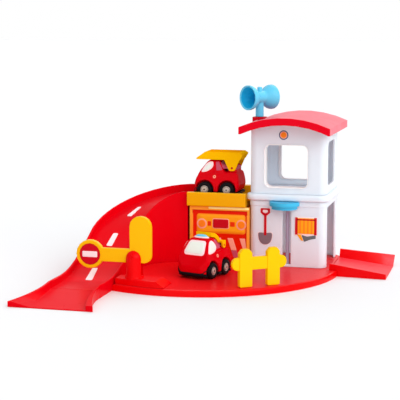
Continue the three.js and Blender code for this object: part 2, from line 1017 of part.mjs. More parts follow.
function liftPlatform() {
  const back = tower.front - tower.frieze - fit.gap;
  const platformTop = deckHeight - lift.platformDrop;
  const rimBottom = platformTop - lift.platformRim;
  const stepBottom = rimBottom - lift.stepHeight;
  const armTop = deckHeight - tower.trayThick - 2 * fit.gap;
  const plate = slabZ(halfDisc(lift.platformRadius, back), rimBottom, platformTop, lift.platformRound);
  const stepOutline = halfDisc(lift.platformRadius - lift.stepInset, back);
  const step = slabZ(stepOutline, stepBottom, rimBottom + fit.overrun);
  const halfArm = lift.slotWidth / 2 - lift.armSideGap;
  const arm = box(
    lift.x - halfArm,
    lift.x + halfArm,
    back - lift.stepInset,
    poleY,
    stepBottom,
    armTop,
  );
  const sleeveRadius = lift.poleRadius + lift.runGap + lift.sleeveWall;
  const sleeve = slabZ(circle(lift.x, poleY, sleeveRadius), stepBottom, armTop);
  const bore = slabZ(
    circle(lift.x, poleY, lift.poleRadius + lift.runGap),
    stepBottom - fit.overrun,
    armTop + fit.overrun,
  );
  return cut(join(plate, step, arm, sleeve), bore);
}

// The barrier: a forked post on a raised pad, and a lever with a sign at one end and a paddle.
const barrierY = barrier.rimInset - yard.radius;
const padTop = yard.height + fit.gap + barrier.padHeight;

function barrierPost() {
  const bottom = yard.height + fit.gap;
  const front = yard.radius - barrier.padRimInset - yard.edge;
  const back = barrierY + barrier.padDepth / 2;
  const { padLeft, padRight } = barrier;
  const outline = [
    new THREE.Vector2(padRight, back),
    new THREE.Vector2(padLeft, back),
    ...arc(0, 0, front, -Math.acos(padLeft / front), -Math.acos(padRight / front)),
  ];
  const pad = slabZ(outline, bottom - barrier.padRound, padTop, barrier.padRound);
  const below = box(padLeft, padRight, -yard.radius, back, bottom - 2 * barrier.padRound, bottom);
  const slope = slabY(
    [
      new THREE.Vector2(padRight - barrier.padSlope, padTop),
      new THREE.Vector2(padRight + fit.overrun, bottom),
      new THREE.Vector2(padRight + fit.overrun, padTop + fit.overrun),
      new THREE.Vector2(padRight - barrier.padSlope, padTop + fit.overrun),
    ],
    -yard.radius,
    back + fit.overrun,
  );
  const radius = barrier.postRadius;
  const profile = [
    new THREE.Vector2(0, bottom),
    new THREE.Vector2(barrier.footRadius, bottom),
    new THREE.Vector2(barrier.footRadius, padTop + fit.rounding),
    new THREE.Vector2(radius, padTop + barrier.footHeight),
    ...arc(0, barrier.postTop - radius, radius, 0, Math.PI / 2).slice(0, -1),
    new THREE.Vector2(0, barrier.postTop),
  ];
  const post = solidOf(
    new THREE.LatheGeometry(profile, 24).rotateX(Math.PI / 2).translate(barrier.x, barrierY, 0),
  );
  const slotHalf = lever.thick / 2 + barrier.slotGap;
  const slot = box(
    barrier.x - barrier.footRadius - fit.overrun,
    barrier.x + barrier.footRadius + fit.overrun,
    barrierY - slotHalf,
    barrierY + slotHalf,
    barrier.slotFloor,
    barrier.postTop + fit.overrun,
  );
  const pinHole = slabY(
    circle(barrier.x, barrier.pivotHeight, barrier.pinRadius + fit.play),
    barrierY - radius - fit.overrun,
    barrierY + radius + fit.overrun,
  );
  return cut(join(cut(pad, below, slope), post), slot, pinHole);
}

function barrierPin() {
  const half = barrier.postRadius - barrier.pinInset;
  return slabY(circle(0, 0, barrier.pinRadius), -half, half);
}

function barrierLever() {
  const half = lever.thick / 2;
  const arm = lever.armHeight / 2;
  const right = lever.paddleOffset + lever.paddleWidth / 2;
  const left = lever.paddleOffset - lever.paddleWidth / 2;
  const bodyOutline = rounded([
    [-lever.reach, -arm],
    [right, -arm, lever.heelRound],
    [right, lever.paddleTop, lever.paddleRound],
    [left, lever.paddleTop, lever.paddleRound],
    [left, arm, fit.rounding],
    [-lever.reach, arm],
  ]);
  const body = slabY(bodyOutline, -half, half, lever.edge);
  const ring = slabY(circle(-lever.reach, 0, lever.ringRadius), -half, half, lever.edge);
  const recess = slabY(
    circle(-lever.reach, 0, lever.signRadius + fit.gap),
    -half - fit.overrun,
    lever.signThick + fit.gap - half,
  );
  const hole = slabY(circle(0, 0, barrier.pinRadius + fit.play), -half - fit.overrun, half + fit.overrun);
  return cut(join(body, ring), recess, hole);
}

function barrierSign() {
  const front = -lever.thick / 2;
  return slabY(circle(-lever.reach, 0, lever.signRadius), front, front + lever.signThick);
}

// The fence: two pickets with gabled tops and a round ended rail, one moulding.
function picketFence() {
  const halfWidth = fence.picketWidth / 2;
  const halfThick = fence.picketThick / 2;
  const picket = (x) => slabY(
    rounded([
      [x - halfWidth, 0, 2 * fit.rounding],
      [x + halfWidth, 0, 2 * fit.rounding],
      [x + halfWidth, fence.picketHeight - fence.shoulder, 2 * fit.rounding],
      [x + halfWidth / 2, fence.picketHeight, 2 * fit.rounding],
      [x - halfWidth / 2, fence.picketHeight, 2 * fit.rounding],
      [x - halfWidth, fence.picketHeight - fence.shoulder, 2 * fit.rounding],
    ]),
    -halfThick,
    halfThick,
    fence.edge,
  );
  const low = fence.railCentre - fence.railHeight / 2;
  const high = fence.railCentre + fence.railHeight / 2;
  const half = fence.railLength / 2;
  const rail = slabY(
    rectangle(-half, low, half, high, fence.railHeight / 2 - fit.gap),
    -fence.railThick / 2,
    fence.railThick / 2,
    fence.edge,
  );
  return join(picket(-fence.spacing / 2), picket(fence.spacing / 2), rail);
}

// The trucks share a body, a chassis, axles and wheels. They drive towards -X in their own frame,
// with the origin on the ground below the middle of the wheelbase.
const truckNose = -truck.wheelbase / 2 - truck.frontOverhang;
const truckTail = truck.wheelbase / 2 + truck.rearOverhang;
const axlePlaces = { front: -truck.wheelbase / 2, rear: truck.wheelbase / 2 };

function truckPlan(inset) {
  const half = truck.halfWidth - inset;
  return rounded([
    [truckNose + inset, -truck.noseHalf, truck.noseCorner],
    [truckNose + truck.noseSweep + inset, -half, truck.noseCorner],
    [truckTail - inset, -half, truck.tailCorner],
    [truckTail - inset, half, truck.tailCorner],
    [truckNose + truck.noseSweep + inset, half, truck.noseCorner],
    [truckNose + inset, truck.noseHalf, truck.noseCorner],
  ]);
}

const wellInner = truck.halfWidth - truck.wheelInset - truck.wheelWidth - truck.archGap;

function wheelWells() {
  const outer = truck.halfWidth + fit.overrun;
  const radius = truck.wheelRadius + truck.archGap;
  return Object.values(axlePlaces).flatMap((x) => [
    slabY(circle(x, truck.wheelRadius, radius), wellInner, outer),
    slabY(circle(x, truck.wheelRadius, radius), -outer, -wellInner),
  ]);
}

function axleBlocks(halfWidth, grow) {
  const top = truck.wheelRadius + truck.bearingLength / 2 + grow;
  const halfLength = truck.bearingLength / 2 + grow;
  return Object.values(axlePlaces).map((x) =>
    box(x - halfLength, x + halfLength, -halfWidth, halfWidth, truck.chassisTop - fit.overrun, top));
}

function truckBody() {
  const bottom = truck.chassisTop + fit.gap;
  const round = truck.tailCorner;
  const sideView = slabY(
    rounded([
      [truckNose + truck.chassisInset, bottom, 2 * fit.rounding],
      [truckNose, truck.bellyHeight, round],
      [truckNose + truck.windscreenFoot, truck.beltHeight, round],
      [truckNose + truck.roofStart, truck.roofHeight, round],
      [truckNose + truck.roofEnd, truck.roofHeight, round / 2],
      [truckNose + truck.cabEnd, truck.deckHeight, round / 2],
      [truckTail - round / 2, truck.deckHeight, round / 2],
      [truckTail, truck.bellyHeight, round],
      [truckTail - round / 2, bottom, 2 * fit.rounding],
    ]),
    -truck.halfWidth,
    truck.halfWidth,
  );
  const frontView = slabX(
    rounded([
      [-truck.halfWidth, bottom, 2 * fit.rounding],
      [truck.halfWidth, bottom, 2 * fit.rounding],
      [truck.halfWidth, truck.bellyHeight, round],
      [truck.beltHalfWidth, truck.beltHeight, round],
      [truck.roofHalfWidth, truck.roofHeight, round],
      [-truck.roofHalfWidth, truck.roofHeight, round],
      [-truck.beltHalfWidth, truck.beltHeight, round],
      [-truck.halfWidth, truck.bellyHeight, round],
    ]),
    truckNose,
    truckTail,
  );
  const plan = slabZ(truckPlan(0), bottom, truck.roofHeight);
  const blocks = axleBlocks(wellInner + fit.overrun, fit.gap);
  return cut(common(sideView, frontView, plan), ...wheelWells(), ...blocks);
}

function truckChassis() {
  const plate = slabZ(truckPlan(truck.chassisInset), truck.chassisBottom, truck.chassisTop, fit.rounding);
  const axleHoles = Object.values(axlePlaces).map((x) => slabY(
    circle(x, truck.wheelRadius, truck.axleRadius + fit.play),
    -truck.halfWidth,
    truck.halfWidth,
  ));
  return cut(join(plate, ...axleBlocks(truck.bearingWidth, 0)), ...wheelWells(), ...axleHoles);
}

function truckWheel() {
  const half = truck.wheelWidth / 2;
  const round = truck.wheelRound;
  const { wheelRadius: radius, wheelBore: bore, dishRadius: dish, dishDepth: depth } = truck;
  const profile = [
    new THREE.Vector2(bore, -half),
    new THREE.Vector2(radius - round, -half),
    new THREE.Vector2(radius, round - half),
    new THREE.Vector2(radius, half - round),
    new THREE.Vector2(radius - round, half),
    new THREE.Vector2(dish, half),
    new THREE.Vector2(dish, half - depth),
    new THREE.Vector2(bore, half - depth),
    new THREE.Vector2(bore, -half),
  ];
  return solidOf(new THREE.LatheGeometry(profile, 20));
}

function truckAxle() {
  const faceY = truck.halfWidth - truck.wheelInset - truck.dishDepth + fit.gap;
  const shaft = slabY(circle(0, 0, truck.axleRadius), -faceY - fit.gap, faceY + fit.gap);
  const cap = (y0, y1) => slabY(circle(0, 0, truck.capRadius), y0, y1, fit.rounding / 2);
  return join(shaft, cap(faceY, faceY + truck.capThick), cap(-faceY - truck.capThick, -faceY));
}

function wheelset(prefix, end) {
  const group = new THREE.Group();
  group.position.set(axlePlaces[end], 0, truck.wheelRadius);
  group.add(piece(`${prefix}_${end}_axle`, truckAxle(), steelPin()));
  const offset = truck.halfWidth - truck.wheelInset - truck.wheelWidth / 2;
  for (const [side, sign] of [['left', -1], ['right', 1]]) {
    const wheel = piece(`${prefix}_${end}_wheel_${side}`, truckWheel(), blackPlastic());
    wheel.position.y = sign * offset;
    wheel.rotation.x = sign > 0 ? 0 : Math.PI;
    group.add(wheel);
  }
  return group;
}

// The tipper: a dump bed that pivots on a boss behind the cab.
function tipperBody() {
  const boss = slabY(
    rounded([
      [bed.pivotX - bed.bossHalfLength, truck.deckHeight - fit.overrun],
      [bed.pivotX + bed.bossHalfLength, truck.deckHeight - fit.overrun],
      [bed.pivotX + bed.bossHalfLength, bed.bossTop, bed.bossHalfLength / 2],
      [bed.pivotX - bed.bossHalfLength, bed.bossTop, bed.bossHalfLength / 2],
    ]),
    -bed.bossHalfWidth,
    bed.bossHalfWidth,
  );
  const hole = slabY(
    circle(bed.pivotX, bed.pivotHeight, bed.pinRadius + fit.play),
    -truck.halfWidth,
    truck.halfWidth,
  );
  return cut(join(truckBody(), boss), hole);
}

function tipperBed() {
  const low = bed.floorHeight - bed.pivotHeight;
  const high = bed.topHeight - bed.pivotHeight;
  const shift = (x) => x - bed.pivotX;
  const trough = [
    [shift(bed.noseX), low, fit.rounding],
    [shift(bed.tailFootX), low, fit.rounding],
    [shift(bed.tailX), high - 2 * bed.wall, fit.rounding],
    [shift(bed.tailTopX), high, fit.rounding],
    [shift(bed.noseTopX), high, fit.rounding],
    [shift(bed.noseX), low + bed.wall, fit.rounding / 2],
  ];
  const tray = slabY(rounded(trough), -bed.halfWidth, bed.halfWidth);
  const hollow = slabY(
    rounded([
      [shift(bed.noseTopX) + bed.wall, low + bed.wall],
      [shift(bed.tailTopX) - bed.wall, low + bed.wall],
      [shift(bed.tailTopX) - bed.wall, high + fit.overrun],
      [shift(bed.noseTopX) + bed.wall, high + fit.overrun],
    ]),
    bed.wall - bed.halfWidth,
    bed.halfWidth - bed.wall,
  );
  const cheekOutline = rounded([
    [shift(bed.cheekStartX), low + bed.wall],
    [-bed.eyeRadius, -bed.eyeRadius, bed.eyeRadius],
    [bed.eyeRadius, -bed.eyeRadius, bed.eyeRadius],
    [shift(bed.tailFootX), low + bed.wall],
  ]);
  const inner = bed.halfWidth - bed.cheekThick;
  const cheeks = [
    slabY(cheekOutline, inner, bed.halfWidth),
    slabY(cheekOutline, -bed.halfWidth, -inner),
  ];
  const hole = slabY(circle(0, 0, bed.pinRadius + fit.play), -truck.halfWidth, truck.halfWidth);
  return cut(join(cut(tray, hollow), ...cheeks), hole);
}

function tipperPin() {
  const half = bed.halfWidth - fit.gap;
  return slabY(circle(bed.pivotX, bed.pivotHeight, bed.pinRadius), -half, half);
}

// The fire engine: a light bar on the cab and a curved boom that lies over the roof.
function engineBody() {
  const inner = boom.cheekHalfWidth - boom.cheekThick - fit.gap;
  const boss = slabY(
    [
      new THREE.Vector2(boom.pivotX - boom.bossRadius, truck.deckHeight - fit.overrun),
      new THREE.Vector2(boom.pivotX + boom.bossRadius, truck.deckHeight - fit.overrun),
      ...arc(boom.pivotX, boom.pivotHeight, boom.bossRadius, 0, Math.PI),
    ],
    -inner,
    inner,
  );
  const hole = slabY(
    circle(boom.pivotX, boom.pivotHeight, boom.pinRadius + fit.play),
    -truck.halfWidth,
    truck.halfWidth,
  );
  return cut(join(truckBody(), boss), hole);
}

function engineBoom() {
  const archX = boom.archX - boom.pivotX;
  const archZ = boom.archHeight - boom.pivotHeight;
  const inside = boom.archRadius - boom.thick;
  const strap = slabY(
    [
      ...arc(archX, archZ, boom.archRadius, boom.footAngle, boom.tipAngle),
      ...arc(archX, archZ, inside, boom.tipAngle, boom.footAngle),
    ],
    -boom.halfWidth,
    boom.halfWidth,
  );
  const footX = archX + inside * Math.cos(boom.footAngle);
  const yokeTop = archZ + boom.archRadius * Math.sin(boom.footAngle);
  const cheekOutline = [
    new THREE.Vector2(boom.eyeRadius, yokeTop),
    new THREE.Vector2(footX, yokeTop),
    ...arc(0, 0, boom.eyeRadius, -Math.PI, 0),
  ];
  const inner = boom.cheekHalfWidth - boom.cheekThick;
  const cheeks = [
    slabY(cheekOutline, inner, boom.cheekHalfWidth),
    slabY(cheekOutline, -boom.cheekHalfWidth, -inner),
  ];
  const yoke = slabY(
    rounded([
      [footX, boom.yokeDrop],
      [boom.eyeRadius, boom.yokeDrop],
      [boom.eyeRadius, yokeTop, fit.rounding],
      [footX, yokeTop, fit.rounding],
    ]),
    -boom.cheekHalfWidth,
    boom.cheekHalfWidth,
  );
  const hole = slabY(circle(0, 0, boom.pinRadius + fit.play), -truck.halfWidth, truck.halfWidth);
  return cut(join(strap, yoke, ...cheeks), hole);
}

function enginePin() {
  const half = boom.cheekHalfWidth - fit.gap;
  return slabY(circle(boom.pivotX, boom.pivotHeight, boom.pinRadius), -half, half);
}

function engineLightBar() {
  const bottom = truck.roofHeight + fit.gap;
  return slabY(
    rounded([
      [lightBar.x, bottom],
      [lightBar.x + lightBar.length, bottom],
      [lightBar.x + lightBar.length, bottom + lightBar.height, lightBar.round],
      [lightBar.x, bottom + lightBar.height, lightBar.round],
    ]),
    -lightBar.halfWidth,
    lightBar.halfWidth,
  );
}

// Assembly.
const station = new THREE.Group();
const place = (child, x, y, z, turn = 0) => {
  child.position.set(x, y, z);
  child.rotation.z = turn;
  return child;
};

function addGrounds() {
  station.add(piece('base_plate', basePlate(), redPlastic()));
  station.add(piece('car_ramp', carRamp(), redPlastic()));
  station.add(piece('lower_exit_ramp', lowerExitRamp(), redPlastic()));
  station.add(piece('side_exit_ramp', sideExitRamp(), redPlastic()));
  const pickets = piece('picket_fence', picketFence(), yellowPlastic());
  const reach = yard.radius - fence.rimInset;
  const fenceX = reach * Math.cos(fence.bearing);
  const fenceY = reach * Math.sin(fence.bearing);
  station.add(place(pickets, fenceX, fenceY, yard.height + fit.gap, fence.turn));
}

function addGarage() {
  station.add(piece('garage_walls', garageWalls(), orangePlastic()));
  station.add(piece('garage_deck', garageDeck(), amberPlastic()));
  station.add(place(piece('garage_door', garageDoor(), redPlastic()), 0, hinge.y, hinge.z));
}

function addTower() {
  station.add(piece('tower_lower_walls', towerLowerWalls(), whitePlastic()));
  station.add(piece('tower_floor_tray', towerFloorTray(), whitePlastic()));
  station.add(piece('tower_upper_walls', towerUpperWalls(), whitePlastic()));
  station.add(piece('tower_roof', towerRoof(), redPlastic()));
  station.add(piece('siren_socket', sirenSocket(), darkRedPlastic()));
  const horn = piece('siren_horn', sirenHorn(), bluePlastic());
  station.add(place(horn, sirenX, siren.y, hornHeight, siren.turn));
  station.add(piece('slide_pole', slidePole(), greyPlastic()));
  station.add(piece('lift_platform', liftPlatform(), bluePlastic()));
}

function addBarrier() {
  station.add(piece('barrier_post', barrierPost(), redPlastic()));
  const arm = new THREE.Group();
  arm.add(piece('barrier_pin', barrierPin(), steelPin()));
  arm.add(piece('barrier_lever', barrierLever(), amberPlastic()));
  arm.add(piece('barrier_sign', barrierSign(), darkRedPlastic()));
  station.add(place(arm, barrier.x, barrierY, barrier.pivotHeight));
}

function addTipper() {
  const group = new THREE.Group();
  group.add(piece('tipper_body', tipperBody(), redPlastic()));
  group.add(piece('tipper_chassis', truckChassis(), blackPlastic()));
  group.add(piece('tipper_bed_pin', tipperPin(), darkRedPlastic()));
  group.add(place(piece('tipper_bed', tipperBed(), yellowPlastic()), bed.pivotX, 0, bed.pivotHeight));
  group.add(wheelset('tipper', 'front'), wheelset('tipper', 'rear'));
  station.add(place(group, tipper.x, tipper.y, deckHeight + fit.gap));
}

function addEngine() {
  const group = new THREE.Group();
  group.add(piece('engine_body', engineBody(), redPlastic()));
  group.add(piece('engine_chassis', truckChassis(), blackPlastic()));
  group.add(piece('engine_boom_pin', enginePin(), darkRedPlastic()));
  group.add(piece('engine_light_bar', engineLightBar(), bluePlastic()));
  group.add(place(piece('engine_boom', engineBoom(), yellowPlastic()), boom.pivotX, 0, boom.pivotHeight));
  group.add(wheelset('engine', 'front'), wheelset('engine', 'rear'));
  station.add(place(group, engine.x, engine.y, yard.height + fit.gap, engine.turn));
}

addGrounds();
addGarage();
addTower();
addBarrier();
addTipper();
addEngine();

export default station;
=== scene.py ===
"""The toy fire station: moulded plastics, printed labels, truck glazing and a plain studio."""
import logging
import math
from collections.abc import Callable, Sequence
from dataclasses import dataclass, field
from enum import Enum

import bpy
from mathutils import Matrix, Vector
from mathutils.bvhtree import BVHTree


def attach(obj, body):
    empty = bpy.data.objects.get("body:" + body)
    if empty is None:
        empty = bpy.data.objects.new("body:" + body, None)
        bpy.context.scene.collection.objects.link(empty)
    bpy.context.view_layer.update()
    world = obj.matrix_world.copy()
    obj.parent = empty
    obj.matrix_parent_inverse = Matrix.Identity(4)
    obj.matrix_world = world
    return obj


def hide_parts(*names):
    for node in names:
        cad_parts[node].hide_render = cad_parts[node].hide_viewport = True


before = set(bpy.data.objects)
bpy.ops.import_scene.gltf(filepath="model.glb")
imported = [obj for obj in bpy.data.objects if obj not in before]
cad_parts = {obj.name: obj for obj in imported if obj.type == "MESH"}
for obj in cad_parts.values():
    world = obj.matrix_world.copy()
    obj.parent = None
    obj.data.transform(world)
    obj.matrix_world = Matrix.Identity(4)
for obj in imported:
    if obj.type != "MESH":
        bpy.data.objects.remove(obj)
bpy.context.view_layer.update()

# The pieces' lengths are in millimetres here, and the frame's are in metres.
MM = 0.001

Pair = tuple[float, float]
Point = tuple[float, float]
Outline = list[Point]
Projection = Callable[[float, float], tuple[Vector, Vector]]

logging.basicConfig(level=logging.INFO, format="%(message)s")
LOG = logging.getLogger("fire_station")


def linear(code: str) -> tuple[float, float, float, float]:
    """Turns a screen colour into linear light.

    Args:
        code: The colour as six hexadecimal figures.

    Returns:
        Red, green, blue and alpha in linear light.
    """
    parts = [int(code[i : i + 2], 16) / 255 for i in (0, 2, 4)]
    light = [p / 12.92 if p <= 0.04045 else ((p + 0.055) / 1.055) ** 2.4 for p in parts]
    return (*light, 1.0)


# Shader nodes and groups.


def feed(tree: bpy.types.NodeTree, node: bpy.types.Node, inputs: dict[str | int, object]) -> None:
    """Fills inputs of a node.

    Args:
        tree: The tree that the node is in.
        node: The node.
        inputs: What each input gets; a socket is linked to it, and a value is set on it.
    """
    for label, value in inputs.items():
        if isinstance(value, bpy.types.NodeSocket):
            tree.links.new(value, node.inputs[label])
        else:
            node.inputs[label].default_value = value


def placed(
    tree: bpy.types.NodeTree, kind: str, inputs: dict[str | int, object] | None = None, **settings: str | bool
) -> bpy.types.Node:
    """Places a shader node.

    Args:
        tree: The tree that takes it.
        kind: Its kind, such as Math.
        inputs: What its inputs get.
        settings: Its own settings, such as its operation.

    Returns:
        The node.
    """
    node = tree.nodes.new(f"ShaderNode{kind}")
    for name, value in settings.items():
        setattr(node, name, value)
    feed(tree, node, inputs or {})
    return node


@dataclass(frozen=True)
class ShaderGroup:
    """A shader node group with named inputs and outputs, built once."""

    name: str
    inputs: tuple[tuple[str, str], ...]
    outputs: tuple[tuple[str, str], ...]

    def tree(self) -> bpy.types.NodeTree:
        """Gives the group's node tree, and builds it when it is first asked for.

        Returns:
            The node tree.
        """
        found = bpy.data.node_groups.get(self.name)
        if found:
            return found
        tree = bpy.data.node_groups.new(self.name, "ShaderNodeTree")
        for label, kind in self.inputs:
            tree.interface.new_socket(name=label, in_out="INPUT", socket_type=kind)
        for label, kind in self.outputs:
            tree.interface.new_socket(name=label, in_out="OUTPUT", socket_type=kind)
        start = tree.nodes.new("NodeGroupInput")
        end = tree.nodes.new("NodeGroupOutput")
        self.wire(tree, start, end)
        return tree

    def wire(self, tree: bpy.types.NodeTree, start: bpy.types.Node, end: bpy.types.Node) -> None:
        """Places and links the group's own nodes; each kind of group has its own."""

    def place(self, tree: bpy.types.NodeTree, inputs: dict[str | int, object]) -> bpy.types.Node:
        """Places the group in a material.

        Args:
            tree: The material's node tree.
            inputs: What its named inputs get.

        Returns:
            The group node.
        """
        node = tree.nodes.new("ShaderNodeGroup")
        node.node_tree = self.tree()
        feed(tree, node, inputs)
        return node


COLOUR = "NodeSocketColor"
NUMBER = "NodeSocketFloat"


@dataclass(frozen=True)
class MouldedSurface(ShaderGroup):
    """Cloudy tone, uneven gloss and the fine grain of a mould."""

    name: str = "moulded_surface"
    inputs: tuple[tuple[str, str], ...] = (
        ("Color", COLOUR),
        ("Shade", COLOUR),
        ("Tone Scale", NUMBER),
        ("Tone", NUMBER),
        ("Roughness", NUMBER),
        ("Gloss Spread", NUMBER),
        ("Grain Scale", NUMBER),
    )
    outputs: tuple[tuple[str, str], ...] = (("Color", COLOUR), ("Roughness", NUMBER), ("Height", NUMBER))
    detail: float = 2.5
    smear_scale: float = 60.0
    smear_bend: float = 2.7

    def wire(self, tree: bpy.types.NodeTree, start: bpy.types.Node, end: bpy.types.Node) -> None:
        """Wires the cloud, the gloss and the grain.

        Args:
            tree: The group's tree.
            start: The group input node.
            end: The group output node.
        """
        values = start.outputs
        place = placed(tree, "TexCoord").outputs["Object"]
        clouds = {"Vector": place, "Scale": values["Tone Scale"], "Detail": self.detail}
        cloud = placed(tree, "TexNoise", clouds)
        amount = placed(tree, "Math", {0: cloud.outputs["Fac"], 1: values["Tone"]}, operation="MULTIPLY")
        tones = {"Factor": amount.outputs[0], "A": values["Color"], "B": values["Shade"]}
        tone = placed(tree, "Mix", tones, data_type="RGBA")
        smears = {"Vector": place, "Scale": self.smear_scale, "Distortion": self.smear_bend}
        smear = placed(tree, "TexNoise", smears)
        centred = placed(tree, "Math", {0: smear.outputs["Fac"], 1: 0.5}, operation="SUBTRACT")
        spread = {0: centred.outputs[0], 1: values["Gloss Spread"], 2: values["Roughness"]}
        gloss = placed(tree, "Math", spread, operation="MULTIPLY_ADD")
        grains = {"Vector": place, "Scale": values["Grain Scale"], "Detail": self.detail}
        grain = placed(tree, "TexNoise", grains)
        feed(tree, end, {"Color": tone.outputs["Result"], "Roughness": gloss.outputs[0]})
        feed(tree, end, {"Height": grain.outputs["Fac"]})


@dataclass(frozen=True)
class PaintedUpwardSheen(ShaderGroup):
    """A painted sheen: a paler colour painted on faces that look up, and where asked on faces that look to the
    right, standing in for the light that they catch.
    """

    name: str = "painted_upward_sheen"
    inputs: tuple[tuple[str, str], ...] = (
        ("Color", COLOUR),
        ("Sheen Paint", COLOUR),
        ("Amount", NUMBER),
        ("Start", NUMBER),
        ("Side", NUMBER),
    )
    outputs: tuple[tuple[str, str], ...] = (("Color", COLOUR),)
    scale: float = 26.0
    least: float = 0.7
    most: float = 1.3

    def wire(self, tree: bpy.types.NodeTree, start: bpy.types.Node, end: bpy.types.Node) -> None:
        """Wires the painted sheen.

        Args:
            tree: The group's tree.
            start: The group input node.
            end: The group output node.
        """
        values = start.outputs
        # The sheen is painted by the face's direction, up and to the right, where the light falls.
        face = placed(tree, "NewGeometry")
        way = placed(tree, "SeparateXYZ", {0: face.outputs["Normal"]})
        right = placed(tree, "Math", {0: way.outputs["X"], 1: 0.0}, operation="MAXIMUM")
        leans = {0: right.outputs[0], 1: values["Side"], 2: way.outputs["Z"]}
        lean = placed(tree, "Math", leans, operation="MULTIPLY_ADD")
        ramp = placed(tree, "MapRange", {"Value": lean.outputs[0], "From Min": values["Start"]})
        place = placed(tree, "TexCoord")
        patch = placed(tree, "TexNoise", {"Vector": place.outputs["Object"], "Scale": self.scale})
        patches = {"Value": patch.outputs["Fac"], "To Min": self.least, "To Max": self.most}
        uneven = placed(tree, "MapRange", patches)
        sheen_parts = {0: ramp.outputs["Result"], 1: uneven.outputs["Result"]}
        sheen_paint = placed(tree, "Math", sheen_parts, operation="MULTIPLY")
        amounts = {0: sheen_paint.outputs[0], 1: values["Amount"]}
        amount = placed(tree, "Math", amounts, operation="MULTIPLY", use_clamp=True)
        colours = {"Factor": amount.outputs[0], "A": values["Color"], "B": values["Sheen Paint"]}
        mix = placed(tree, "Mix", colours, data_type="RGBA")
        feed(tree, end, {"Color": mix.outputs["Result"]})


MOULDED = MouldedSurface()
PAINTED_SHEEN = PaintedUpwardSheen()


# Finishes.


GRAIN_DEPTH = 0.2
GLOW_REACH = 6.0


@dataclass(frozen=True)
class Plastic:
    """A moulded or printed plastic.

    The painted sheen is the share of a paler colour painted on faces that look up, standing in for the light
    that they catch; level is where it starts, from -1 to 1, and side is how much of it faces to the right get.
    Lengths are in millimetres.
    """

    name: str
    slot: str
    colour: str
    shade: str
    roughness: float = 0.3
    gloss_spread: float = 0.12
    tone: float = 0.5
    tone_scale: float = 14.0
    grain_scale: float = 900.0
    grain: float = 0.06
    coat: float = 0.0
    # The painted sheen: how much paler colour is painted on faces that look up and, by side, on faces that look
    # to the right.
    painted_sheen: float = 0.0
    sheen_paint: str = "ffffff"
    level: float = 0.55
    side: float = 0.0
    metallic: float = 0.0
    shine: float = 0.08
    glow_through: float = 0.0

    def material(self) -> bpy.types.Material:
        """Gives the finish's material, and builds it when it is first asked for.

        Returns:
            The material.
        """
        found = bpy.data.materials.get(self.name)
        if found:
            return found
        made = bpy.data.materials.new(self.name)
        made.use_nodes = True
        tree = made.node_tree
        surface = MOULDED.place(
            tree,
            {
                "Color": linear(self.colour),
                "Shade": linear(self.shade),
                "Tone Scale": self.tone_scale,
                "Tone": self.tone,
                "Roughness": self.roughness,
                "Gloss Spread": self.gloss_spread,
                "Grain Scale": self.grain_scale,
            },
        )
        colour = surface.outputs["Color"]
        # Paints the pale sheen onto the colour, as painted light on the upward and right-facing faces.
        if self.painted_sheen > 0:
            sheen_inputs = {"Color": colour, "Sheen Paint": linear(self.sheen_paint), "Amount": self.painted_sheen}
            sheen_paint = PAINTED_SHEEN.place(tree, sheen_inputs | {"Start": self.level, "Side": self.side})
            colour = sheen_paint.outputs["Color"]
        grains = {"Strength": self.grain, "Distance": GRAIN_DEPTH * MM, "Height": surface.outputs["Height"]}
        bump = placed(tree, "Bump", grains)
        feed(
            tree,
            tree.nodes["Principled BSDF"],
            {
                "Base Color": colour,
                "Roughness": surface.outputs["Roughness"],
                "Normal": bump.outputs["Normal"],
                "Metallic": self.metallic,
                "Coat Weight": self.coat,
                "Specular IOR Level": self.shine,
                "Subsurface Weight": self.glow_through,
                "Subsurface Radius": (1.0, 1.0, 1.0),
                "Subsurface Scale": GLOW_REACH * MM,
            },
        )
        return made


def ink(name: str, slot: str, colour: str, shade: str, roughness: float = 0.45, shine: float = 0.08) -> Plastic:
    """Gives the smooth, dull finish of a printed or painted place.

    Args:
        name: The finish's name.
        slot: Its material slot.
        colour: Its colour.
        shade: The colour of its darker clouds.
        roughness: How dull it is.
        shine: How much it mirrors.

    Returns:
        The finish.
    """
    return Plastic(name, slot, colour, shade, roughness=roughness, grain=0.02, shine=shine)


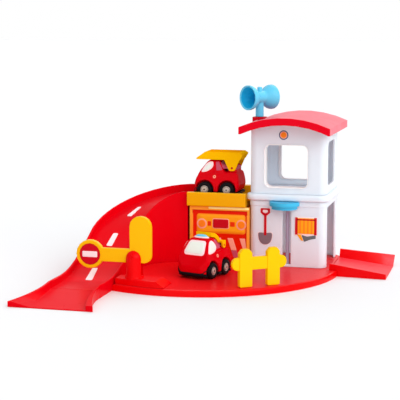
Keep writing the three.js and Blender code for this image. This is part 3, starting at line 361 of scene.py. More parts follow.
class Finish(Enum):
    """The finishes of the toy."""

    # The reds below carry a painted sheen: a paler pink painted on faces that look up, where the light falls.
    RED = Plastic("station_red", "red_plastic", "ee0005", "e20003", painted_sheen=0.05, sheen_paint="ff6a78", level=0.8)
    ROAD_RED = Plastic(
        "road_red", "red_plastic", "e40012", "d60010", painted_sheen=0.06, sheen_paint="ff6a78", level=0.9, shine=0.03
    )
    EXIT_RED = Plastic("exit_red", "red_plastic", "ee0007", "e20005", painted_sheen=0.22, sheen_paint="ff6a80", level=0.9)
    # The roof's pale pink top and right side are a painted reflection of the light.
    ROOF_RED = Plastic(
        "roof_red",
        "red_plastic",
        "e4001e",
        "dc001a",
        roughness=0.36,
        painted_sheen=0.58,
        sheen_paint="ff8c9c",
        side=1.1,
        shine=0.05,
    )
    TRUCK_RED = Plastic("truck_red", "red_plastic", "dc0012", "c6000c", roughness=0.24, coat=0.1, shine=0.0)
    WHITE = Plastic(
        "tower_white", "white_plastic", "e6f0fc", "dce8f8", roughness=0.38, tone_scale=9.0, glow_through=0.6
    )
    YELLOW = Plastic("fence_yellow", "yellow_plastic", "fdc400", "f8ba00")
    BED_YELLOW = Plastic("bed_yellow", "yellow_plastic", "fdc408", "f8b402", shine=0.0)
    # The deck's paler top is a painted sheen.
    AMBER = Plastic("deck_amber", "amber_plastic", "f2b000", "eaa200", painted_sheen=0.2, sheen_paint="ffdc50")
    LEVER_AMBER = Plastic("lever_amber", "amber_plastic", "f8bc00", "f2b000")
    ORANGE = Plastic("garage_orange", "orange_plastic", "ffa838", "fc9826")
    BLUE = Plastic("siren_blue", "blue_plastic", "6accec", "54c0e6", roughness=0.26, shine=0.18)
    # A deeper blue that paints the shade inside the siren's bells.
    BELL_SHADE_BLUE = Plastic("bell_shade_blue", "blue_plastic", "12a6dc", "0a98cc")
    LIFT_BLUE = Plastic("lift_blue", "blue_plastic", "48c0ea", "36b0e0")
    GREY = Plastic("pole_grey", "grey_plastic", "bdb0c6", "a59cb6")
    DARK_RED = Plastic("sign_red", "dark_red_plastic", "d0001c", "b40014")
    BLACK = Plastic("tyre_black", "black_plastic", "151418", "0b0b0e", roughness=0.42, grain=0.12)
    HUB = Plastic("hub_silver", "grey_plastic", "cfc2b8", "a99d95", roughness=0.24, metallic=0.35, shine=0.3)
    DOOR_RED = Plastic("door_red", "red_plastic", "ea2204", "dc1400")
    PRINT_ORANGE = ink("print_orange", "orange_plastic", "ff8e20", "f88018")
    PRINT_AMBER = ink("print_amber", "amber_plastic", "ffae1c", "fc9c14")
    PRINT_RED = ink("print_red", "dark_red_plastic", "cc0c20", "b8061a")
    PRINT_BRIGHT_RED = ink("print_bright_red", "red_plastic", "ee3a0c", "e42c04")
    PRINT_PINK = ink("print_pink", "white_plastic", "ffb49a", "ff9e82")
    PRINT_WHITE = ink("print_white", "white_plastic", "fbe9ea", "f3dcdc")
    PRINT_GREY = ink("print_grey", "grey_plastic", "86737a", "746068")
    PRINT_MAUVE = ink("print_mauve", "grey_plastic", "cc5870", "b8465e", roughness=0.5, shine=0.02)
    PRINT_BLUE = ink("print_blue", "blue_plastic", "3d6c8c", "315c7c")
    PRINT_STEEL = ink("print_steel", "grey_plastic", "6c7276", "565c60")
    HIGHLIGHT_YELLOW = ink("highlight_yellow", "yellow_plastic", "fff4a4", "ffea80", roughness=0.4)
    LANE_WHITE = ink("lane_white", "white_plastic", "fdeef0", "f4e0e4", roughness=0.4)
    GLAZING_RIM = Plastic("glazing_rim", "white_plastic", "ffe8ea", "f8dade", roughness=0.2)
    GLAZING = Plastic("glazing", "white_plastic", "eef6ee", "dceae0", roughness=0.12)
    # A pure white copy of the tower white: painted light on the window returns.
    LIT_RETURN_WHITE = Plastic("lit_return_white", "white_plastic", "ffffff", "fcfdff", roughness=0.4)

    @property
    def plastic(self) -> Plastic:
        """The plastic that this finish stands for."""
        return self.value

    def material(self) -> bpy.types.Material:
        """Gives the finish's material."""
        return self.value.material()


# Outlines and thin skins.


def rounded(corners: Sequence[Point], radius: float, steps: int = 6) -> Outline:
    """Rounds the corners of an outline.

    Args:
        corners: The corners in order.
        radius: The radius of each corner.
        steps: How many short lines make a corner.

    Returns:
        The points of the rounded outline.
    """
    points: Outline = []
    for i, here in enumerate(corners):
        corner = Vector(here)
        before = (Vector(corners[i - 1]) - corner).normalized()
        after = (Vector(corners[(i + 1) % len(corners)]) - corner).normalized()
        half = math.acos(max(-1.0, min(1.0, before.dot(after)))) / 2
        centre = corner + (before + after).normalized() * (radius / math.sin(half))
        start = corner + before * (radius / math.tan(half)) - centre
        end = corner + after * (radius / math.tan(half)) - centre
        sweep = math.atan2(start.x * end.y - start.y * end.x, start.dot(end))
        for k in range(steps + 1):
            angle = sweep * k / steps
            turned = Matrix.Rotation(angle, 2) @ start
            points.append((centre.x + turned.x, centre.y + turned.y))
    return points


def rectangle(left: float, low: float, right: float, high: float, radius: float, inset: float = 0.0) -> Outline:
    """Gives a rectangle with rounded corners.

    Args:
        left: Its left side.
        low: Its lower side.
        right: Its right side.
        high: Its upper side.
        radius: The radius of each corner.
        inset: How far each side is moved inwards.

    Returns:
        The points of the outline.
    """
    left, low, right, high = left + inset, low + inset, right - inset, high - inset
    return rounded([(left, low), (right, low), (right, high), (left, high)], radius)


def disc(x: float, y: float, radius: float, steps: int = 48) -> Outline:
    """Gives a circle as an outline."""
    return [
        (x + radius * math.cos(math.tau * k / steps), y + radius * math.sin(math.tau * k / steps))
        for k in range(steps)
    ]


def smooth_loop(corners: Sequence[Point], steps: int = 8) -> Outline:
    """Draws a smooth closed curve through points.

    Args:
        corners: The points that the curve goes through.
        steps: How many short lines join two points.

    Returns:
        The points of the curve.
    """
    count = len(corners)
    points: Outline = []
    for i in range(count):
        a, b, c, d = (Vector(corners[(i + k - 1) % count]) for k in range(4))
        for k in range(steps):
            t = k / steps
            point = 0.5 * (
                2 * b + (c - a) * t + (2 * a - 5 * b + 4 * c - d) * t**2 + (3 * b - a - 3 * c + d) * t**3
            )
            points.append((point.x, point.y))
    return points


def middle_of(outline: Outline) -> Vector:
    """Gives the middle of an outline's points."""
    return Vector((sum(p[0] for p in outline) / len(outline), sum(p[1] for p in outline) / len(outline)))


def front_face(y: float, x: float = 0.0, z: float = 0.0) -> Projection:
    """Gives the projection onto an upright face that looks to the front.

    Args:
        y: Where the face is, in millimetres.
        x: Where its first measure starts.
        z: Where its second measure starts.

    Returns:
        A function that gives the point and the normal for two measures in metres.
    """
    origin = Vector((x, y, z)) * MM
    return lambda across, along: (origin + Vector((across, 0, along)), Vector((0, -1, 0)))


def band(first: int, second: int, count: int) -> list[list[int]]:
    """Gives the faces between two rings of points.

    Args:
        first: The number of the first ring's first point.
        second: The number of the second ring's first point.
        count: How many points each ring has.

    Returns:
        The faces.
    """
    return [[first + i, first + (i + 1) % count, second + (i + 1) % count, second + i] for i in range(count)]


def finished(
    name: str,
    body: str,
    finishes: Sequence[Finish],
    vertices: Sequence[Vector],
    faces: Sequence[Sequence[int]],
    indices: Sequence[int] | None = None,
) -> bpy.types.Object:
    """Makes a piece that rides on a body.

    Args:
        name: The piece's name.
        body: The body that it moves with.
        finishes: Its finishes, one material slot each, in order.
        vertices: The points of its mesh, in the row frame.
        faces: The faces of its mesh.
        indices: Which finish each face has.

    Returns:
        The piece.
    """
    mesh = bpy.data.meshes.new(name)
    mesh.from_pydata([tuple(v) for v in vertices], [], [tuple(f) for f in faces])
    for finish in finishes:
        mesh.materials.append(finish.material())
    if indices is not None:
        mesh.polygons.foreach_set("material_index", list(indices))
    mesh.shade_smooth()
    piece = bpy.data.objects.new(name, mesh)
    bpy.context.scene.collection.objects.link(piece)
    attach(piece, body)
    LOG.info("%s rides on %s", name, body)
    return piece


def mesh_tree(node: str) -> BVHTree:
    """Gives a search tree of a CAD node's faces, in the row frame."""
    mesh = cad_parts[node].data
    return BVHTree.FromPolygons([v.co.copy() for v in mesh.vertices], [list(p.vertices) for p in mesh.polygons])


def dropped(tree: BVHTree, surface: Projection, above: float = 20.0) -> Projection:
    """Gives a projection that follows a surface and then drops onto the faces below it.

    Args:
        tree: The faces to drop onto.
        surface: The smooth surface to start from.
        above: How far above it the drop starts, in millimetres.

    Returns:
        A function that gives the point on the faces and the smooth normal.
    """

    def place(across: float, along: float) -> tuple[Vector, Vector]:
        """Gives the point on the faces and the smooth normal."""
        point, normal = surface(across, along)
        hit, _, _, _ = tree.ray_cast(point + Vector((0, 0, above * MM)), Vector((0, 0, -1)))
        return (hit if hit else point), normal

    return place


class Skin:
    """Thin raised panels and strips on one surface, which make one piece.

    A panel's edge rounds over at edge_in of its rim and edge_up of its height. A strip is steep up to
    flank of its height, and flat over crown of its width.
    """

    edge_in: float = 0.3
    edge_up: float = 0.7
    least_core: float = 0.5
    flank: float = 0.4
    crown: float = 0.7

    def __init__(self, name: str, body: str, surface: Projection) -> None:
        """Starts a skin.

        Args:
            name: The piece's name.
            body: The body that it moves with.
            surface: Where two measures on the surface lie, and the normal there.
        """
        self.name = name
        self.body = body
        self.surface = surface
        self.vertices: list[Vector] = []
        self.faces: list[list[int]] = []
        self.indices: list[int] = []
        self.finishes: list[Finish] = []

    def spot(self, across: float, along: float, rise: float) -> int:
        """Adds a point at a height above the surface.

        Args:
            across: The first measure on the surface, in millimetres.
            along: The second measure.
            rise: The height above the surface, in millimetres.

        Returns:
            The number of the point.
        """
        place, normal = self.surface(across * MM, along * MM)
        self.vertices.append(place + normal * (rise * MM))
        return len(self.vertices) - 1

    def face(self, finish: Finish, corners: list[int]) -> None:
        """Adds a face of a finish."""
        if finish not in self.finishes:
            self.finishes.append(finish)
        self.faces.append(corners)
        self.indices.append(self.finishes.index(finish))

    def panel(
        self,
        finish: Finish,
        outline: Outline,
        rise: float,
        sink: float = 0.3,
        rim: float = 0.12,
        rings: int = 4,
    ) -> None:
        """Adds a raised panel with a soft edge; its outline is seen whole from its middle.

        Args:
            finish: Its finish.
            outline: Its outline in millimetres.
            rise: Its height above the surface.
            sink: How deep its edge goes into the surface.
            rim: How wide its rounded edge is.
            rings: How many rings of faces it has inside the edge.
        """
        count = len(outline)
        middle = middle_of(outline)
        reach = sum((Vector(p) - middle).length for p in outline) / count
        inner = max(self.least_core, 1 - rim / reach)
        levels = [(inner * (k + 1) / rings, rise) for k in range(rings)]
        levels += [(1 - (1 - inner) * self.edge_in, rise * self.edge_up), (1.0, 0.0), (1.0, -sink)]
        centre = self.spot(middle.x, middle.y, rise)
        last: list[int] = []
        for share, height in levels:
            ring = []
            for point in outline:
                place = middle + (Vector(point) - middle) * share
                ring.append(self.spot(place.x, place.y, height))
            for k in range(count):
                after = (k + 1) % count
                if last:
                    self.face(finish, [last[k], ring[k], ring[after], last[after]])
                else:
                    self.face(finish, [centre, ring[k], ring[after]])
            last = ring

    def strip(
        self,
        finish: Finish,
        path: Outline,
        width: float,
        rise: float,
        closed: bool = False,
        sink: float = 0.3,
    ) -> None:
        """Adds a raised strip along a path.

        Args:
            finish: Its finish.
            path: The points that it follows, in millimetres.
            width: Its width.
            rise: Its height above the surface.
            closed: Whether the path closes on itself.
            sink: How deep its edges go into the surface.
        """
        rows = []
        count = len(path)
        left = [(-1.0, -sink), (-1.0, rise * self.flank), (-self.crown, rise)]
        section = left + [(-share, height) for share, height in reversed(left)]
        for k in range(count):
            here = Vector(path[k])
            before = Vector(path[k - 1]) if closed or k > 0 else here
            after = Vector(path[(k + 1) % count]) if closed or k < count - 1 else here
            way = (after - before).normalized()
            side = Vector((-way.y, way.x)) * (width / 2)
            row = []
            for share, height in section:
                place = here + side * share
                row.append(self.spot(place.x, place.y, height))
            rows.append(row)
        pairs = list(zip(rows, rows[1:])) + ([(rows[-1], rows[0])] if closed else [])
        for first, second in pairs:
            for k in range(len(first) - 1):
                self.face(finish, [first[k], second[k], second[k + 1], first[k + 1]])
        if not closed:
            self.face(finish, rows[0][:])
            self.face(finish, rows[-1][::-1])

    def piece(self) -> bpy.types.Object:
        """Makes the piece out of what was added."""
        return finished(self.name, self.body, self.finishes, self.vertices, self.faces, self.indices)


# Nodes that come over from the CAD model.


@dataclass(frozen=True)
class Dressing:
    """Softens the edges of a CAD node with modifiers, and gives it its finish."""

    width: float = 0.7
    segments: int = 3
    sharp: float = math.radians(32)
    weld: float = 0.01
    flat: float = math.radians(0.3)

    def dress(self, node: str, finish: Finish) -> bpy.types.Object:
        """Dresses a node.

        Args:
            node: The node's name.
            finish: Its finish.

        Returns:
            The node's object.
        """
        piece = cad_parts[node]
        mesh = piece.data
        mesh.materials.clear()
        mesh.materials.append(finish.material())
        if "custom_normal" in mesh.attributes:
            mesh.attributes.remove(mesh.attributes["custom_normal"])
        mesh.polygons.foreach_set("material_index", [0] * len(mesh.polygons))
        mesh.shade_smooth()
        weld = piece.modifiers.new("joined", "WELD")
        weld.merge_threshold = self.weld * MM
        merge = piece.modifiers.new("flat_faces", "DECIMATE")
        merge.decimate_type = "DISSOLVE"
        merge.angle_limit = self.flat
        edge = piece.modifiers.new("soft_edge", "BEVEL")
        edge.width = self.width * MM
        edge.segments = self.segments
        edge.limit_method = "ANGLE"
        edge.angle_limit = self.sharp
        edge.use_clamp_overlap = True
        normal = piece.modifiers.new("face_normals", "WEIGHTED_NORMAL")
        normal.keep_sharp = True
        LOG.info("%s dressed in %s", node, finish.plastic.name)
        return piece


SOFT = Dressing()
FINE = Dressing(width=0.35, segments=2)
BROAD = Dressing(width=1.6, segments=4)


# The grounds: yard, ramps, lane marks and fence.


@dataclass(frozen=True)
class Road:
    """The line of the car ramp: a straight and a quarter turn, rising in an S."""

    x: float = -128.0
    start_y: float = -265.0
    turn_x: float = -24.0
    turn_y: float = -72.0
    radius: float = 104.0
    foot: float = 12.0
    top: float = 118.5
    level_share: float = 0.12
    slope_step: float = 0.5

    @property
    def straight(self) -> float:
        """The length of the straight."""
        return self.turn_y - self.start_y

    @property
    def length(self) -> float:
        """The whole length."""
        return self.straight + self.radius * math.pi / 2

    def height(self, distance: float) -> float:
        """Gives the height of the road at a distance along it."""
        along = (distance / self.length - self.level_share) / (1 - self.level_share)
        along = min(1.0, max(0.0, along))
        return self.foot + (self.top - self.foot) * along * along * (3 - 2 * along)

    def surface(self, side: float, distance: float) -> tuple[Vector, Vector]:
        """Gives the point and the normal of the road.

        Args:
            side: How far it is from the centre line to the inside, in metres.
            distance: How far along the road it is, in metres.

        Returns:
            The point and the normal, in the row frame.
        """
        side, distance = side / MM, distance / MM
        height = self.height(distance)
        step = self.slope_step
        rise = (self.height(distance + step) - self.height(distance - step)) / (2 * step)
        if distance <= self.straight:
            place = Vector((self.x + side, self.start_y + distance, height))
            way = Vector((0.0, 1.0, rise))
            inward = Vector((1.0, 0.0, 0.0))
        else:
            angle = math.pi - (distance - self.straight) / self.radius
            out = Vector((math.cos(angle), math.sin(angle), 0.0))
            place = Vector((self.turn_x, self.turn_y, height)) + out * (self.radius - side)
            way = Vector((math.sin(angle), -math.cos(angle), rise))
            inward = -out
        return place * MM, inward.cross(way).normalized()


@dataclass(frozen=True)
class Grounds:
    """The yard, the ramps, the lane marks and the fence."""

    road: Road = Road()
    marks: tuple[tuple[Point, ...], ...] = (
        ((-5.1, 61.5), (5.4, 61.8), (-0.4, 106.4), (-8.8, 104.3)),
        ((-7.2, 165.8), (2.6, 164.8), (3.5, 195.8), (-5.0, 195.1)),
        ((-7.6, 239.8), (2.2, 240.6), (-5.2, 267.5), (-12.8, 264.8)),
    )
    mark_round: float = 2.0
    mark_rise: float = 0.55
    mark_sink: float = 0.6
    mark_rings: int = 20

    def build(self) -> None:
        """Dresses the grounds and lays the lane marks."""
        BROAD.dress("base_plate", Finish.RED)
        SOFT.dress("car_ramp", Finish.ROAD_RED)
        SOFT.dress("lower_exit_ramp", Finish.ROAD_RED)
        SOFT.dress("side_exit_ramp", Finish.EXIT_RED)
        SOFT.dress("picket_fence", Finish.YELLOW)
        self.lane_marks()

    def lane_marks(self) -> None:
        """Lays the white dashes along the middle of the ramp."""
        skin = Skin("lane_marks", "station", dropped(mesh_tree("car_ramp"), self.road.surface))
        for corners in self.marks:
            outline = rounded(corners, self.mark_round)
            skin.panel(Finish.LANE_WHITE, outline, self.mark_rise, self.mark_sink, rings=self.mark_rings)
        skin.piece()


# The garage under the roof deck.


@dataclass(frozen=True)
class Garage:
    """The garage walls, the deck and the door with its banner."""

    front: float = -8.0
    banner: tuple[float, float, float, float] = (-8.6, 60.2, 74.2, 92.8)
    banner_round: float = 4.6
    banner_rim: float = 1.6
    plaque: tuple[float, float, float, float] = (18.0, 68.4, 46.5, 85.4)
    plaque_round: float = 3.0
    plaque_rim: float = 1.2
    plaque_core_round: float = 2.2
    bars: tuple[Pair, Pair] = ((10.0, 16.0), (48.0, 56.0))
    bar_half: float = 4.0
    bar_round: float = 0.8
    button_places: Pair = (0.2, 66.7)
    button_height: float = 76.0
    button_radius: float = 8.6
    button_rim: float = 2.4
    stripes: int = 5
    stripe_low: float = 21.0
    stripe_break: float = 33.5
    stripe_high: float = 53.5
    stripe_width: float = 9.3
    stripe_slope: float = 0.325
    stripe_pitch: float = 20.4
    stripe_first: float = -7.2
    stripe_least: float = 1.5
    stripe_round: float = 0.4
    leaf_edge: float = 75.9
    rise: float = 0.15
    layers: tuple[float, ...] = (0.05, 0.1, 0.15, 0.12, 0.18)
    # Where the painted highlight lies on the header.
    header: tuple[float, float, float, float] = (12.0, 101.2, 79.8, 104.9)
    header_front: float = -10.0
    header_round: float = 0.9

    def build(self) -> None:
        """Dresses the garage, paints a pale highlight along the header and prints the door."""
        SOFT.dress("garage_walls", Finish.ORANGE)
        BROAD.dress("garage_deck", Finish.AMBER)
        FINE.dress("garage_door", Finish.DOOR_RED)
        self.door_print()
        # A pale yellow strip along the top of the header: a painted highlight where light catches its edge.
        skin = Skin("header_highlight", "station", front_face(self.header_front))
        skin.panel(Finish.HIGHLIGHT_YELLOW, rectangle(*self.header, self.header_round), self.rise)
        skin.piece()

    def door_print(self) -> None:
        """Prints the banner and the stripes on the door."""
        skin = Skin("door_print", "door", front_face(self.front))
        field_rise, mark_rise, core_rise, plaque_rise, plate_rise = (self.rise + layer for layer in self.layers)
        skin.panel(Finish.PRINT_ORANGE, rectangle(*self.banner, self.banner_round), self.rise)
        rim = self.banner_rim
        skin.panel(Finish.PRINT_AMBER, rectangle(*self.banner, self.banner_round - rim, rim), field_rise)
        middle = (self.banner[1] + self.banner[3]) / 2
        for left, right in self.bars:
            bar = rectangle(left, middle - self.bar_half, right, middle + self.bar_half, self.bar_round)
            skin.panel(Finish.PRINT_BRIGHT_RED, bar, mark_rise)
        for x in self.button_places:
            skin.panel(Finish.PRINT_PINK, disc(x, self.button_height, self.button_radius), mark_rise)
            core = disc(x, self.button_height, self.button_radius - self.button_rim)
            skin.panel(Finish.PRINT_ORANGE, core, core_rise)
        skin.panel(Finish.PRINT_PINK, rectangle(*self.plaque, self.plaque_round), plaque_rise)
        core = rectangle(*self.plaque, self.plaque_core_round, self.plaque_rim)
        skin.panel(Finish.PRINT_RED, core, plate_rise)
        for k in range(self.stripes):
            foot = self.stripe_first + k * self.stripe_pitch
            # Each stripe is pink above stripe_break and a darker mauve below it, down to its foot.
            self.stripe(skin, Finish.PRINT_PINK, foot, self.stripe_break, self.stripe_high)
            self.stripe(skin, Finish.PRINT_MAUVE, foot, self.stripe_low, self.stripe_break)
        skin.piece()

    def stripe(self, skin: Skin, finish: Finish, foot: float, low: float, high: float) -> None:
        """Prints a leaning stripe, cut off at the edge of the door.

        Args:
            skin: The skin that takes it.
            finish: Its finish.
            foot: Where its left side meets the foot of the stripes.
            low: Its lower end.
            high: Its upper end.
        """

        def side(height: float) -> float:
            """Gives where the left side of the stripe is at a height."""
            return foot - (height - self.stripe_low) * self.stripe_slope

        corners = [(side(low), low), (side(low) + self.stripe_width, low)]
        corners += [(side(high) + self.stripe_width, high), (side(high), high)]
        last = self.leaf_edge - self.stripe_least
        if side(low) > last:
            cut = self.stripe_low + (foot - last) / self.stripe_slope
            corners[:2] = [(last, cut), (self.leaf_edge, cut)]
        outline = [(min(x, self.leaf_edge), z) for x, z in corners]
        skin.panel(finish, rounded(outline, self.stripe_round), self.rise)


# The tower, its siren and its pole lift.


@dataclass(frozen=True)
class Siren:
    """The double horn that turns on the roof."""

    x: float = 92.0
    y: float = 12.0
    height: float = 284.0
    turn: float = -2.2
    foot: float = 252.8
    spigot: float = 3.8
    spigot_radius: float = 3.0
    post_radius: float = 6.6
    bell_radius: float = 20.0
    neck_radius: float = 10.4
    length: float = 51.6
    wall: float = 2.0
    depth: float = 19.0
    throat: float = 5.5
    knob_radius: float = 4.0
    knob_height: float = 6.4
    waist_share: float = 0.28
    bowl_share: float = 0.66
    flare: float = 1.5
    lip: float = 0.6
    lip_angles: tuple[float, ...] = (-1.2, -0.6, 0.0, 0.6, 1.2)
    lining_face: float = 0.3
    lining_back: float = 0.4
    lining_tip: Point = (1.0, 0.8)
    lining_edge: float = 2.0
    post_chamfer: float = 0.6
    knob_edge: tuple[Point, ...] = ((0.0, 1.2), (0.4, 0.4), (1.3, 0.0))
    steps: int = 14
    segments: int = 72

    def build(self) -> None:
        """Turns the horn smoothly, in the place of the faceted one."""
        where = Vector((self.x, self.y, self.height)) * MM
        place = Matrix.Translation(where) @ Matrix.Rotation(self.turn - math.pi / 2, 4, "Z")
        half = self.length / 2
        outside, inside = [], []
        for i in range(self.steps + 1):
            along = i / self.steps
            outside.append((self.bowl(1 - along), half * (1 - along)))
            radius = self.throat + (self.bell_radius - self.wall - self.throat) * along**self.flare
            inside.append((radius, half - self.depth * (1 - along)))
        self.bells(outside, inside, place)
        self.shade_linings(inside, place)
        self.stem()

    def bells(self, outside: list[Point], inside: list[Point], place: Matrix) -> None:
        """Turns the two bells and the waist between them in one piece.

        Args:
            outside: The outer line, from a rim to the waist.
            inside: The inner line, from the throat to a rim.
            place: Where the horn goes.
        """
        half = self.length / 2
        lip = [
            (self.bell_radius - self.wall * (1 - math.sin(angle)) / 2, half + self.lip * math.cos(angle))
            for angle in self.lip_angles
        ]
        upper = [(0.0, half - self.depth), *inside[:-1], *lip, *outside[1:]]
        lower = [(radius, -along) for radius, along in reversed(upper[:-1])]
        horn = turned("siren_bells", "siren", Finish.BLUE, upper + lower, self.segments, place)
        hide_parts("siren_horn")

    def shade_linings(self, inside: list[Point], place: Matrix) -> None:
        """Lines both bells with a deeper blue, a painted shade inside the deep bells.

        Args:
            inside: The inner line of a bell, from the throat to the rim.
            place: Where the horn goes.
        """
        half, face, back = self.length / 2, self.lining_face, self.lining_back
        rim, throat = inside[-1][0], half - self.depth
        lining = [(0.0, throat + face), *((radius - face, along) for radius, along in inside[:-1])]
        lining += [(rim - self.lining_tip[0], half - self.lining_tip[1]), (rim + back, half - self.lining_edge)]
        lining += [(radius + back, along - back) for radius, along in reversed(inside[:-1])]
        lining.append((0.0, throat - back))
        for sign, side in ((1, "left"), (-1, "right")):
            faced = [(radius, sign * along) for radius, along in lining]
            turned(f"siren_shade_lining_{side}", "siren", Finish.BELL_SHADE_BLUE, faced[::sign], self.segments, place)

    def stem(self) -> None:
        """Turns the post below the horn and the knob above it."""
        stand = Matrix.Translation(Vector((self.x, self.y, 0)) * MM) @ Matrix.Rotation(math.pi / 2, 4, "X")
        top = self.height - self.neck_radius / 2
        post = [
            (0.0, self.foot - self.spigot),
            (self.spigot_radius, self.foot - self.spigot),
            (self.spigot_radius, self.foot),
            (self.post_radius - self.post_chamfer, self.foot),
            (self.post_radius, self.foot + self.post_chamfer),
            (self.post_radius, top),
            (0.0, top),
        ]
        turned("siren_post", "siren", Finish.BLUE, post, self.segments // 2, stand)
        crown = self.height + self.neck_radius + self.knob_height
        knob = [(0.0, self.height), (self.knob_radius, self.height)]
        knob += [(self.knob_radius - inward, crown - down) for inward, down in self.knob_edge]
        knob.append((0.0, crown))
        turned("siren_knob", "siren", Finish.BLUE, knob, self.segments // 3, stand)

    def bowl(self, share: float) -> float:
        """Gives the outer radius at a share of the way from the middle to the rim."""
        grown = min(1.0, max(0.0, (share - self.waist_share) / self.bowl_share))
        return self.neck_radius + (self.bell_radius - self.neck_radius) * math.sin(grown * math.pi / 2)


ON_AXIS = 1e-6
TURNED_CREASE = 38


def turned(
    name: str, body: str, finish: Finish, profile: Sequence[Point], segments: int, place: Matrix
) -> bpy.types.Object:
    """Makes a turned piece about its own Y axis.

    Args:
        name: The piece's name.
        body: The body that it moves with.
        finish: Its finish.
        profile: Radius and place along the axis, in millimetres, from axis to axis or closed.
        segments: How many faces go round.
        place: Where the piece goes, in metres.

    Returns:
        The piece.
    """
    vertices: list[Vector] = []
    rings: list[list[int]] = []
    for radius, along in profile:
        if radius < ON_AXIS:
            vertices.append(place @ Vector((0, along * MM, 0)))
            rings.append([len(vertices) - 1] * segments)
            continue
        ring = []
        for k in range(segments):
            angle = math.tau * k / segments
            vertices.append(place @ (Vector((radius * math.cos(angle), along, radius * math.sin(angle))) * MM))
            ring.append(len(vertices) - 1)
        rings.append(ring)
    faces = []
    closed = profile[0][0] > ON_AXIS
    pairs = list(zip(rings, rings[1:])) + ([(rings[-1], rings[0])] if closed else [])
    for first, second in pairs:
        for k in range(segments):
            after = (k + 1) % segments
            corners = [first[k], first[after], second[after], second[k]]
            unique = list(dict.fromkeys(corners))
            if len(unique) > 2:
                faces.append(unique)
    piece = finished(name, body, [finish], vertices, faces)
    piece.data.set_sharp_from_angle(angle=math.radians(TURNED_CREASE))
    return piece


@dataclass(frozen=True)
class Shovel:
    """The printed shovel: a grip, a shaft and a blade, each with a pale border."""

    x: float = 107.3
    low: float = 45.9
    high: float = 105.9
    border: float = 0.9
    grip_half: float = 8.0
    grip_height: float = 12.0
    grip_foot_half: float = 3.0
    grip_shoulder: float = 4.5
    grip_round: float = 2.2
    eye_half: float = 4.2
    eye_depths: tuple[float, float, float] = (2.8, 6.6, 8.6)
    eye_round: float = 1.4
    shaft_half: float = 2.1
    shaft_round: float = 0.4
    shaft_hidden: Pair = (4.0, 1.0)
    blade_height: float = 19.2
    blade_half: float = 10.8
    blade_side: Point = (10.6, 9.0)
    blade_foot: Point = (6.5, 2.4)
    layers: tuple[float, ...] = (0.06, 0.1, 0.12, 0.17)

    def parts(self, grow: float) -> tuple[Outline, Outline, Outline]:
        """Draws the three parts.

        Args:
            grow: How much wider each part is on each side.

        Returns:
            The outlines of the grip, the shaft and the blade.
        """
        x, low, high = self.x, self.low, self.high
        neck, shoulder = high - self.grip_height, low + self.blade_height
        wide, narrow, bend = self.grip_half + grow, self.grip_foot_half + grow, neck + self.grip_shoulder
        grip = [(x - wide, high + grow), (x - wide, bend), (x - narrow, neck - grow)]
        grip += [(x + narrow, neck - grow), (x + wide, bend), (x + wide, high + grow)]
        half, (below, above) = self.shaft_half + grow, self.shaft_hidden
        shaft = rectangle(x - half, shoulder - below, x + half, neck + above, self.shaft_round)
        half, top = self.blade_half + grow, shoulder + grow
        side, foot = self.blade_side[0] + grow, self.blade_foot[0] + grow
        blade = [(x - half, top), (x, top), (x + half, top), (x + side, low + self.blade_side[1])]
        blade += [(x + foot, low + self.blade_foot[1]), (x, low - grow), (x - foot, low + self.blade_foot[1])]
        blade.append((x - side, low + self.blade_side[1]))
        return rounded(grip, self.grip_round), shaft, smooth_loop(blade)

    def draw(self, face: Projection, rise: float) -> None:
        """Prints the shovel.

        Args:
            face: The wall that takes it.
            rise: The height of its lowest layer.
        """
        skin = Skin("shovel_label", "station", face)
        for outline in self.parts(self.border):
            skin.panel(Finish.PRINT_WHITE, outline, rise)
        grip, shaft, blade = self.parts(0.0)
        blade_rise, shaft_rise, grip_rise, eye_rise = (rise + layer for layer in self.layers)
        skin.panel(Finish.PRINT_GREY, blade, blade_rise)
        skin.panel(Finish.PRINT_RED, shaft, shaft_rise)
        skin.panel(Finish.PRINT_RED, grip, grip_rise)
        x, half = self.x, self.eye_half
        top, side, foot = (self.high - depth for depth in self.eye_depths)
        eye = [(x - half, top), (x - half, side), (x, foot), (x + half, side), (x + half, top)]
        skin.panel(Finish.PRINT_WHITE, rounded(eye, self.eye_round), eye_rise)
        skin.piece()


